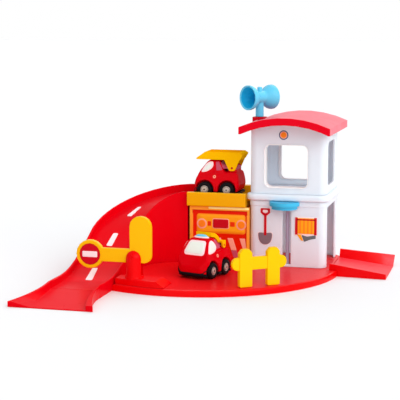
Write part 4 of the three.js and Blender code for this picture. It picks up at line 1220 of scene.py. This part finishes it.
@dataclass(frozen=True)
class HoseCabinet:
    """The printed cabinet: slats between two posts, and a flap and a nozzle below."""

    left: float = 156.4
    low: float = 66.0
    right: float = 192.0
    high: float = 93.0
    border: float = 1.0
    border_below: float = 3.0
    border_round: float = 1.5
    field_side: float = 3.0
    field_top: float = 1.0
    field_round: float = 1.0
    slats: int = 4
    slat_first: float = 7.2
    slat_pitch: float = 6.2
    slat_width: float = 2.8
    slat_ends: Pair = (0.5, 1.5)
    slat_round: float = 0.5
    post_width: float = 4.4
    post_below: float = 1.5
    post_round: float = 0.9
    rail: Pair = (5.0, 2.6)
    rail_round: float = 0.8
    flap: tuple[Point, ...] = ((2.6, -0.6), (12.0, -0.6), (14.8, -11.6), (9.8, -10.8))
    flap_round: float = 0.8
    nozzle: tuple[Point, ...] = (
        (10.4, -1.0),
        (20.0, -3.4),
        (34.2, -0.8),
        (34.2, -6.4),
        (25.0, -8.4),
        (15.0, -12.4),
    )
    nozzle_middle: float = 23.6
    nozzle_border: float = 0.8
    nozzle_drop: float = 0.4
    nozzle_rounds: Pair = (1.2, 1.0)
    layers: tuple[float, ...] = (0.03, 0.05, 0.06, 0.1, 0.12, 0.14)

    def draw(self, face: Projection, rise: float) -> None:
        """Prints the cabinet.

        Args:
            face: The wall that takes it.
            rise: The height of its lowest layer.
        """
        left, low, right, high = self.left, self.low, self.right, self.high
        rises = [rise + layer for layer in self.layers]
        flap_rise, field_rise, pale_rise, slat_rise, dark_rise, post_rise = rises
        skin = Skin("cabinet_label", "station", face)
        edge, below = self.border, self.border_below
        back = rectangle(left - edge, low - below, right + edge, high + edge, self.border_round)
        skin.panel(Finish.PRINT_WHITE, back, rise)
        inset, top = self.field_side, high - self.field_top
        field = rectangle(left + inset, low, right - inset, top, self.field_round)
        skin.panel(Finish.PRINT_AMBER, field, field_rise)
        for k in range(self.slats):
            x = left + self.slat_first + k * self.slat_pitch
            foot, end = low + self.slat_ends[0], high - self.slat_ends[1]
            slat = rectangle(x, foot, x + self.slat_width, end, self.slat_round)
            skin.panel(Finish.PRINT_ORANGE, slat, slat_rise)
        for x in (left, right - self.post_width):
            post = rectangle(x, low - self.post_below, x + self.post_width, high, self.post_round)
            skin.panel(Finish.PRINT_RED, post, post_rise)
        under, over = (high - depth for depth in self.rail)
        rail = rectangle(left + inset, under, right - inset, over, self.rail_round)
        skin.panel(Finish.PRINT_RED, rail, post_rise)
        flap = [(left + x, low + z) for x, z in self.flap]
        skin.panel(Finish.PRINT_AMBER, rounded(flap, self.flap_round), flap_rise)
        border, middle = self.nozzle_border, self.nozzle_middle
        pale = [(left + x + math.copysign(border, x - middle), low + z) for x, z in self.nozzle]
        skin.panel(Finish.PRINT_WHITE, rounded(pale, self.nozzle_rounds[0]), pale_rise)
        dark = [(left + x, low + z - self.nozzle_drop) for x, z in self.nozzle]
        skin.panel(Finish.PRINT_STEEL, rounded(dark, self.nozzle_rounds[1]), dark_rise)
        skin.piece()


@dataclass(frozen=True)
class Tower:
    """The tower walls, roof, siren, lift and labels."""

    front: float = -10.0
    back: float = 115.0
    rise: float = 0.15
    roundel_place: Point = (136.3, 225.4)
    roundel_rings: tuple[float, float, float] = (7.7, 6.0, 4.7)
    roundel_layer: float = 0.05
    window: tuple[float, float, float, float] = (104.5, 139.1, 176.5, 210.0)
    window_round: float = 10.0
    window_play: float = 0.05
    return_wall: float = 1.2
    return_depth: float = 21.0
    return_lip: float = 0.5
    return_flare: float = 1.006
    return_gap: float = 0.1
    return_crease: float = 40.0
    back_side: float = 5.0
    back_sill: float = 1.4
    back_depth: float = 5.0

    def build(self) -> None:
        """Dresses the tower, lines its windows and prints its labels."""
        for node in ("tower_lower_walls", "tower_floor_tray", "tower_upper_walls"):
            SOFT.dress(node, Finish.WHITE)
        SOFT.dress("tower_roof", Finish.ROOF_RED)
        FINE.dress("siren_socket", Finish.DARK_RED)
        FINE.dress("slide_pole", Finish.GREY)
        FINE.dress("lift_platform", Finish.LIFT_BLUE)
        Siren().build()
        face = front_face(self.front)
        self.roundel(face)
        Shovel().draw(face, self.rise)
        HoseCabinet().draw(face, self.rise)
        eye = rectangle(*self.window, self.window_round - self.return_wall, self.return_wall)
        self.window_return("front_window_return", eye, self.front, self.front + self.return_depth)
        left, low, right, high = self.window
        side, sill = self.back_side, self.back_sill
        eye = rectangle(left + side, low + sill, right - side, high - sill, self.window_round)
        self.window_return("back_window_return", eye, self.back - self.back_depth, self.back - self.return_gap)

    def window_return(self, name: str, eye: Outline, near: float, far: float) -> None:
        """Lines a window with a return that goes into the room.

        Args:
            name: The name of the return.
            eye: The outline that is looked through.
            near: Where it starts, in millimetres along Y.
            far: Where it ends.
        """
        hole = rectangle(*self.window, self.window_round, self.window_play)
        middle, lip = middle_of(eye), self.return_lip
        wide = [tuple(middle + (Vector(point) - middle) * self.return_flare) for point in eye]
        start = near + self.return_gap
        rings = [(hole, start), (wide, start), (eye, near + lip), (eye, far - lip), (wide, far), (hole, far)]
        vertices = [Vector((x, y, z)) * MM for ring, y in rings for x, z in ring]
        count = len(hole)
        faces = []
        for k in range(len(rings)):
            faces += band(k * count, (k + 1) % len(rings) * count, count)
        # The returns are lighter than the walls: painted light.
        piece = finished(name, "station", [Finish.LIT_RETURN_WHITE], vertices, faces)
        piece.data.set_sharp_from_angle(angle=math.radians(self.return_crease))

    def roundel(self, face: Projection) -> None:
        """Prints the plain roundel under the roof."""
        skin = Skin("tower_roundel", "station", face)
        inks = (Finish.PRINT_BLUE, Finish.PRINT_PINK, Finish.PRINT_ORANGE)
        for k, (finish, radius) in enumerate(zip(inks, self.roundel_rings)):
            skin.panel(finish, disc(*self.roundel_place, radius), self.rise + self.roundel_layer * k)
        skin.piece()


# The barrier.


@dataclass(frozen=True)
class Barrier:
    """The post, the lever and the sign."""

    sign_x: float = -125.0
    sign_z: float = 54.0
    face: float = -204.0
    bar_width: float = 24.0
    bar_height: float = 9.0
    bar_round: float = 1.6
    bar_rise: float = 0.2

    def build(self) -> None:
        """Dresses the barrier and prints the bar on the sign."""
        SOFT.dress("barrier_post", Finish.RED)
        FINE.dress("barrier_lever", Finish.LEVER_AMBER)
        FINE.dress("barrier_sign", Finish.DARK_RED)
        FINE.dress("barrier_pin", Finish.RED)
        skin = Skin("sign_bar", "barrier_arm", front_face(self.face, self.sign_x, self.sign_z))
        half, high = self.bar_width / 2, self.bar_height / 2
        skin.panel(Finish.PRINT_WHITE, rectangle(-half, -high, half, high, self.bar_round), self.bar_rise)
        skin.piece()


# The trucks.


class Facing(Enum):
    """The side of a truck that a panel lies on: where the eye stands, and the way it looks."""

    FRONT = ((-1.0, 0.0, 0.0), (1.0, 0.0, 0.0))
    REAR = ((1.0, 0.0, 0.0), (-1.0, 0.0, 0.0))
    LEFT = ((0.0, -1.0, 0.0), (0.0, 1.0, 0.0))
    RIGHT = ((0.0, 1.0, 0.0), (0.0, -1.0, 0.0))


SIDES = ((Facing.LEFT, "left"), (Facing.RIGHT, "right"))


@dataclass
class Truck:
    """What both trucks share: body shell, glazing, trim, tyres and hubs.

    Lengths are in millimetres. A stand is how far a panel stands out of the body and how wide its
    edge is. The points of a tyre or a rim say how far each is from the tread, the hub or the dish,
    and how deep it is from the face.
    """

    prefix: str
    x: float
    y: float
    z: float
    turn: float = 0.0
    wheelbase: float = 37.5
    wheel_radius: float = 12.5
    wheel_width: float = 10.0
    half_width: float = 30.5
    wheel_inset: float = 0.6
    dish: float = 6.4
    hub: float = 4.8
    bore: float = 2.1
    tyre_shoulder: tuple[Point, ...] = ((2.6, 0.0), (1.0, 0.6), (0.15, 2.0), (0.0, 3.4))
    tyre_groove: tuple[Point, ...] = ((0.0, -0.6), (0.5, -0.4), (0.5, 0.4), (0.0, 0.6))
    tyre_face: tuple[Point, ...] = ((4.2, 0.1), (4.6, 0.5))
    dish_depths: Pair = (0.6, 1.6)
    rim_inner: tuple[Point, ...] = ((0.15, 1.55), (0.15, 0.9))
    rim_outer: tuple[Point, ...] = ((0.5, 0.3), (0.1, 0.5), (0.1, 1.55))
    nut: tuple[Point, ...] = ((0.0, 0.0), (1.2, 0.0), (1.2, 0.9), (0.9, 1.05), (0.0, 1.05))
    wheel_steps: tuple[int, int, int] = (56, 48, 20)
    voxel: float = 0.75
    smooth_rounds: int = 34
    smooth_step: float = 0.5
    kept_faces: float = 0.35
    far: float = 200.0
    skirt: float = 11.0
    bumper_height: float = 7.6
    bumper_width: float = 5.0
    bumper_flat: float = 17.0
    bumper_lift: float = 8.0
    bumper_inset: float = 2.5
    bumper_rise: float = 1.0
    bumper_steps: int = 28
    leaf: tuple[Point, ...] = ()
    pane: tuple[Point, ...] = ()
    quarter_window: tuple[Point, ...] = ((-2.2, 57.6), (3.4, 58.0), (10.8, 44.6), (0.4, 43.4))
    screen_rim: tuple[Point, ...] = ((-19.6, 36.4), (19.6, 36.4), (14.6, 57.4), (-14.6, 57.4))
    screen: tuple[Point, ...] = ((-16.8, 38.8), (16.8, 38.8), (12.4, 55.0), (-12.4, 55.0))
    rear_window: tuple[Point, ...] = ((-20.0, 45.0), (20.0, 45.0), (15.5, 57.0), (-15.5, 57.0))
    door_seam: tuple[Point, ...] = ((-4.2, 57.5), (-3.0, 48.0), (-1.0, 40.0), (-1.4, 31.0))
    waist_seam: tuple[Point, ...] = ((-30.0, 38.0), (-16.0, 38.8), (-1.0, 40.0), (12.0, 40.0))
    seam_rise: float = 0.12
    seam_widths: Pair = (0.7, 0.6)
    cap: Point = (-2.4, 33.6)
    cap_radii: Pair = (2.6, 1.1)
    cap_rises: Pair = (0.3, 0.4)
    cap_steps: tuple[int, int] = (24, 16)
    rim_stand: Pair = (0.45, 0.5)
    glass_stand: Pair = (0.6, 0.3)
    quarter_stand: Pair = (0.3, 0.4)
    rear_stand: Pair = (0.4, 0.4)
    quarter_round: float = 1.4
    rear_round: float = 2.6
    screen_rounds: Pair = (4.8, 3.8)
    side_rings: int = 6
    screen_rings: int = 8
    loop_steps: int = 4
    place: Matrix = field(init=False)
    tree: BVHTree = field(init=False)

    def __post_init__(self) -> None:
        """Works out where the truck stands."""
        spot = Vector((self.x, self.y, self.z)) * MM
        self.place = Matrix.Translation(spot) @ Matrix.Rotation(self.turn, 4, "Z")

    def build(self) -> None:
        """Builds everything that both trucks have."""
        self.body_shell()
        FINE.dress(f"{self.prefix}_chassis", Finish.BLACK)
        self.windows()
        self.trim()
        for end, x in (("front", -self.wheelbase / 2), ("rear", self.wheelbase / 2)):
            FINE.dress(f"{self.prefix}_{end}_axle", Finish.HUB)
            for side, sign in (("left", -1), ("right", 1)):
                self.wheel(end, side, x, sign)

    def body_shell(self) -> None:
        """Makes the rounded body out of the CAD body."""
        node = f"{self.prefix}_body"
        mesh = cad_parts[node].data.copy()
        shell = bpy.data.objects.new(f"{self.prefix}_body_shell", mesh)
        bpy.context.scene.collection.objects.link(shell)
        remesh = shell.modifiers.new("remesh", "REMESH")
        remesh.mode = "VOXEL"
        remesh.voxel_size = self.voxel * MM
        remesh.use_smooth_shade = True
        smooth = shell.modifiers.new("smooth", "SMOOTH")
        smooth.factor = self.smooth_step
        smooth.iterations = self.smooth_rounds
        fewer = shell.modifiers.new("fewer", "DECIMATE")
        fewer.ratio = self.kept_faces
        graph = bpy.context.evaluated_depsgraph_get()
        made = bpy.data.meshes.new_from_object(shell.evaluated_get(graph))
        shell.modifiers.clear()
        shell.data = made
        made.materials.clear()
        made.materials.append(Finish.TRUCK_RED.material())
        made.shade_smooth()
        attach(shell, self.prefix)
        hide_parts(node)
        inverse = self.place.inverted()
        points = [inverse @ v.co for v in made.vertices]
        self.tree = BVHTree.FromPolygons(points, [list(p.vertices) for p in made.polygons])
        LOG.info("%s rides on %s", shell.name, self.prefix)

    def on(self, facing: Facing) -> Projection:
        """Gives the projection onto one side of the body.

        Args:
            facing: The side.

        Returns:
            A function from two measures to the point and the normal on the body.
        """
        away, way = Vector(facing.value[0]), Vector(facing.value[1])

        def surface(across: float, up: float) -> tuple[Vector, Vector]:
            """Gives the point that a look from outside meets, and the outward normal."""
            along_x = facing in (Facing.LEFT, Facing.RIGHT)
            start = Vector((across, 0, up) if along_x else (0, across, up)) + away * (self.far * MM)
            hit, normal, _, _ = self.tree.ray_cast(start, way)
            if hit is None:
                hit, normal, _, _ = self.tree.find_nearest(start - away * ((self.far - self.half_width) * MM))
            if normal.dot(way) > 0:
                normal = -normal
            return self.place @ hit, self.place.to_3x3() @ normal

        return surface

    def windows(self) -> None:
        """Glazes the cab all round."""
        rings, steps = self.side_rings, self.loop_steps
        for facing, side in SIDES:
            leaf, pane = smooth_loop(self.leaf, steps), smooth_loop(self.pane, steps)
            skin = self.glazed(f"window_{side}", facing, leaf, pane, rings)
            rise, edge = self.quarter_stand
            outline = rounded(self.quarter_window, self.quarter_round)
            skin.panel(Finish.PRINT_MAUVE, outline, rise, rim=edge, rings=rings)
            skin.piece()
        rim_round, glass_round = self.screen_rounds
        rim, glass = rounded(self.screen_rim, rim_round), rounded(self.screen, glass_round)
        self.glazed("windscreen", Facing.FRONT, rim, glass, self.screen_rings).piece()
        skin = Skin(f"{self.prefix}_rear_window", self.prefix, self.on(Facing.REAR))
        rise, edge = self.rear_stand
        outline = rounded(self.rear_window, self.rear_round)
        skin.panel(Finish.PRINT_MAUVE, outline, rise, rim=edge, rings=rings)
        skin.piece()

    def glazed(self, name: str, facing: Facing, rim: Outline, glass: Outline, rings: int) -> Skin:
        """Starts a window with its pale rim and its glass.

        Args:
            name: The window's name, without the truck's.
            facing: The side that it is on.
            rim: The outline of the rim.
            glass: The outline of the glass.
            rings: How many rings of faces each has.

        Returns:
            The skin that holds them.
        """
        skin = Skin(f"{self.prefix}_{name}", self.prefix, self.on(facing))
        for finish, outline, (rise, edge) in (
            (Finish.GLAZING_RIM, rim, self.rim_stand),
            (Finish.GLAZING, glass, self.glass_stand),
        ):
            skin.panel(finish, outline, rise, rim=edge, rings=rings)
        return skin

    def trim(self) -> None:
        """Adds the bumper, the door seams and the round caps on the doors."""
        self.bumper()
        seams = tuple(zip((self.door_seam, self.waist_seam), self.seam_widths))
        caps = tuple(zip((Finish.PRINT_PINK, Finish.PRINT_RED), self.cap_radii, self.cap_steps, self.cap_rises))
        for facing, side in SIDES:
            skin = Skin(f"{self.prefix}_seams_{side}", self.prefix, self.on(facing))
            for path, width in seams:
                skin.strip(Finish.DARK_RED, path, width, self.seam_rise)
            for finish, radius, steps, rise in caps:
                skin.panel(finish, disc(*self.cap, radius, steps), rise)
            skin.piece()

    def bumper(self) -> None:
        """Lays the black bumper along the foot of the nose and up to the wheel arches."""
        front = self.on(Facing.FRONT)
        reach = self.half_width - self.bumper_inset

        def surface(across: float, up: float) -> tuple[Vector, Vector]:
            """Gives the point and the level normal of the nose, also below its lower edge."""
            point, normal = front(max(-reach, min(reach, across / MM)) * MM, max(up, self.skirt * MM))
            level = Vector((normal.x, normal.y, 0.0)).normalized()
            return Vector((point.x, point.y, self.z * MM + up)), level

        skin = Skin(f"{self.prefix}_bumper", self.prefix, surface)
        path = []
        for k in range(self.bumper_steps + 1):
            y = -reach + 2 * reach * k / self.bumper_steps
            lift = max(0.0, (abs(y) - self.bumper_flat) / (reach - self.bumper_flat))
            path.append((y, self.bumper_height + self.bumper_lift * lift * lift))
        skin.strip(Finish.BLACK, path, self.bumper_width, self.bumper_rise)
        skin.piece()

    def wheel(self, end: str, side: str, x: float, sign: int) -> None:
        """Makes a tyre with a tread groove and a hub ring, in the place of the plain wheel.

        Args:
            end: Front or rear.
            side: Left or right.
            x: Where the axle is along the truck.
            sign: Minus one on the left and one on the right.
        """
        radius, half = self.wheel_radius, self.wheel_width / 2
        middle = sign * (self.half_width - self.wheel_inset - half)
        flip = Matrix.Identity(4) if sign > 0 else Matrix.Rotation(math.pi, 4, "X")
        spot = self.place @ Matrix.Translation(Vector((x, middle, radius)) * MM) @ flip
        tyre_steps, rim_steps, nut_steps = self.wheel_steps
        face_depth, dish_depth = self.dish_depths
        tyre = [(self.bore, -half)]
        tyre += [(radius - inward, -half + deep) for inward, deep in self.tyre_shoulder]
        tyre += [(radius - inward, along) for inward, along in self.tyre_groove]
        tyre += [(radius - inward, half - deep) for inward, deep in reversed(self.tyre_shoulder)]
        tyre += [(radius - inward, half - deep) for inward, deep in self.tyre_face]
        tyre += [(self.dish, half - face_depth), (self.dish, half - dish_depth), (self.bore, half - dish_depth)]
        body = f"{self.prefix}_{end}_wheels"
        piece = turned(f"{self.prefix}_{end}_tyre_{side}", body, Finish.BLACK, tyre, tyre_steps, spot)
        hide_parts(f"{self.prefix}_{end}_wheel_{side}")
        rim = [(self.hub + outward, half - deep) for outward, deep in self.rim_inner]
        rim += [(self.dish - inward, half - deep) for inward, deep in self.rim_outer]
        turned(f"{self.prefix}_{end}_hub_{side}", body, Finish.HUB, rim, rim_steps, spot)
        nut = [(across, half + out) for across, out in self.nut]
        turned(f"{self.prefix}_{end}_nut_{side}", body, Finish.BLACK, nut, nut_steps, spot)


@dataclass
class Tipper(Truck):
    """The tipper truck on the roof deck."""

    prefix: str = "tipper"
    x: float = 20.0
    y: float = 33.0
    z: float = 118.8
    leaf: tuple[Point, ...] = (
        (-25.0, 41.3),
        (-22.8, 46.5),
        (-19.4, 52.1),
        (-16.4, 55.3),
        (-13.3, 57.1),
        (-9.5, 58.0),
        (-6.5, 57.2),
        (-5.5, 53.2),
        (-6.6, 49.0),
        (-9.8, 45.4),
        (-15.2, 42.3),
        (-19.7, 40.9),
    )
    pane: tuple[Point, ...] = (
        (-21.2, 43.6),
        (-17.4, 49.6),
        (-13.0, 53.9),
        (-9.4, 54.2),
        (-8.6, 50.8),
        (-13.0, 46.0),
        (-17.4, 43.2),
    )

    def build(self) -> None:
        """Builds the tipper."""
        super().build()
        FINE.dress("tipper_bed", Finish.BED_YELLOW)
        FINE.dress("tipper_bed_pin", Finish.DARK_RED)


@dataclass
class Engine(Truck):
    """The small fire engine in the yard."""

    prefix: str = "engine"
    x: float = 30.0
    y: float = -107.0
    z: float = 10.7
    turn: float = 1.27
    leaf: tuple[Point, ...] = (
        (-26.2, 40.0),
        (-22.2, 47.6),
        (-18.3, 53.4),
        (-14.1, 56.6),
        (-7.8, 57.4),
        (-2.7, 52.6),
        (-0.6, 46.8),
        (-4.4, 42.3),
        (-10.3, 39.7),
        (-20.0, 38.5),
    )
    pane: tuple[Point, ...] = (
        (-23.2, 41.4),
        (-16.2, 52.4),
        (-12.2, 55.0),
        (-8.0, 55.4),
        (-4.2, 51.4),
        (-2.4, 47.0),
        (-6.0, 43.4),
        (-11.0, 41.4),
        (-19.0, 40.4),
    )
    lamp_x: float = -7.2
    lamp_z: float = 61.4
    lamp_half: float = 13.4
    lamp_reach: float = 5.4
    lamp_root: float = 0.6
    dome_points: int = 56
    dome_levels: int = 9
    dome_crease: float = 50.0

    def build(self) -> None:
        """Builds the engine."""
        super().build()
        FINE.dress("engine_boom", Finish.BED_YELLOW)
        FINE.dress("engine_boom_pin", Finish.DARK_RED)
        rim = self.dome("engine_lamp_rim", Finish.GLAZING_RIM, share=1.0, height=2.4, fullness=0.8)
        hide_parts("engine_light_bar")
        self.dome("engine_lamp_lens", Finish.BLUE, share=0.86, height=4.6, fullness=0.45)

    def dome(self, name: str, finish: Finish, share: float, height: float, fullness: float) -> bpy.types.Object:
        """Makes a long dome on the roof for the light.

        Args:
            name: The name of the dome.
            finish: Its finish.
            share: Its size as a share of the whole light.
            height: Its height.
            fullness: How square its side is, from 0 to 1.

        Returns:
            The dome.
        """
        around, levels = self.dome_points, self.dome_levels
        vertices = []
        for k in range(levels):
            rise = k / (levels - 1)
            inset = (1 - rise ** (2 / (1 - 0.5 * fullness))) ** 0.5 if rise < 1 else 0.0
            for i in range(around):
                angle = math.tau * i / around
                x = self.lamp_x + self.lamp_reach * share * inset * math.cos(angle)
                y = self.lamp_half * share * inset * math.sin(angle)
                z = self.lamp_z - self.lamp_root + (height + self.lamp_root) * rise
                vertices.append(self.place @ (Vector((x, y, z)) * MM))
        faces = [list(range(around))[::-1]]
        for k in range(levels - 1):
            faces += band(k * around, (k + 1) * around, around)
        piece = finished(name, self.prefix, [finish], vertices, faces)
        piece.data.set_sharp_from_angle(angle=math.radians(self.dome_crease))
        return piece


# The studio.


@dataclass(frozen=True)
class Lamp:
    """A soft, distant lamp; a wide spread casts a soft shadow."""

    name: str
    towards: tuple[float, float, float]
    spread: float
    power: float

    def hang(self) -> None:
        """Hangs the lamp in its direction from the toy."""
        data = bpy.data.lights.new(self.name, "SUN")
        data.angle = math.radians(self.spread)
        data.energy = self.power
        lamp = bpy.data.objects.new(self.name, data)
        aim = (-Vector(self.towards)).to_track_quat("-Z", "Y")
        lamp.matrix_world = Matrix.Translation(self.towards) @ aim.to_matrix().to_4x4()
        bpy.context.scene.collection.objects.link(lamp)
        LOG.info("%s hung", self.name)


@dataclass(frozen=True)
class Studio:
    """The plain studio: camera, floor, world light and soft lamps.

    Its places are in metres, and the lens and the sensor are in millimetres.
    """

    camera_place: tuple[float, float, float] = (0.512, -1.944, 0.400)
    camera_aim: tuple[float, float, float] = (-0.25453, 0.95674, -0.1409)
    lens: float = 110.6
    sensor: float = 36.0
    sight: float = 100.0
    floor_half: float = 30.0
    floor_colour: str = "ebecee"
    front_light: float = 0.42
    back_light: float = 0.85
    light_ramp: Pair = (-0.7, 0.5)
    lamps: tuple[Lamp, ...] = (
        Lamp("key_lamp", (1.5, -1.1, 1.2), 50.0, 1.6),
        Lamp("back_lamp", (0.3, 1.0, 1.1), 60.0, 0.9),
        Lamp("fill_lamp", (0.2, -1.8, 0.6), 70.0, 0.6),
    )

    def build(self) -> None:
        """Makes the camera, the floor, the world and the lamps."""
        self.camera()
        self.floor()
        self.world()
        for lamp in self.lamps:
            lamp.hang()

    def camera(self) -> None:
        """Sets the camera at the viewing angle of the photograph."""
        data = bpy.data.cameras.new("photo_camera")
        data.lens = self.lens
        data.sensor_width = self.sensor
        data.sensor_fit = "HORIZONTAL"
        data.clip_end = self.sight
        camera = bpy.data.objects.new("photo_camera", data)
        aim = Vector(self.camera_aim).to_track_quat("-Z", "Y")
        camera.matrix_world = Matrix.Translation(self.camera_place) @ aim.to_matrix().to_4x4()
        bpy.context.scene.collection.objects.link(camera)
        bpy.context.scene.camera = camera

    def floor(self) -> None:
        """Lays the pale floor that the toy stands on."""
        mesh = bpy.data.meshes.new("studio_floor")
        half = self.floor_half
        corners = [(-half, -half, 0), (half, -half, 0), (half, half, 0), (-half, half, 0)]
        mesh.from_pydata(corners, [], [(0, 1, 2, 3)])
        floor = bpy.data.objects.new("studio_floor", mesh)
        bpy.context.scene.collection.objects.link(floor)
        material = bpy.data.materials.new("studio_floor")
        material.use_nodes = True
        tree = material.node_tree
        matt = {"Base Color": linear(self.floor_colour), "Roughness": 1.0, "Specular IOR Level": 0.0}
        feed(tree, tree.nodes["Principled BSDF"], matt)
        mesh.materials.append(material)

    def world(self) -> None:
        """Sets a soft light that is stronger from behind, and a white background."""
        world = bpy.data.worlds.new("studio_world")
        world.use_nodes = True
        bpy.context.scene.world = world
        tree = world.node_tree
        place = placed(tree, "TexCoord")
        split = placed(tree, "SeparateXYZ", {0: place.outputs["Generated"]})
        low, high = self.light_ramp
        ramp = {"Value": split.outputs["Y"], "From Min": low, "From Max": high}
        ramp |= {"To Min": self.front_light, "To Max": self.back_light}
        sky = placed(tree, "MapRange", ramp, interpolation_type="SMOOTHSTEP")
        path = placed(tree, "LightPath").outputs
        rays = {0: path["Is Camera Ray"], 1: path["Is Transmission Ray"]}
        seen = placed(tree, "Math", rays, operation="MAXIMUM")
        level = placed(tree, "Mix", {"Factor": seen.outputs[0], "A": sky.outputs["Result"], "B": 1.0})
        ground = {"Color": (1, 1, 1, 1), "Strength": level.outputs["Result"]}
        feed(tree, tree.nodes["Background"], ground)


def main() -> None:
    """Builds the studio and every part of the toy in order."""
    Studio().build()
    Grounds().build()
    Garage().build()
    Tower().build()
    Barrier().build()
    Tipper().build()
    Engine().build()
    bpy.context.scene.view_settings.view_transform = "Standard"
    LOG.info("sizes written")


if __name__ == "__main__":
    main()
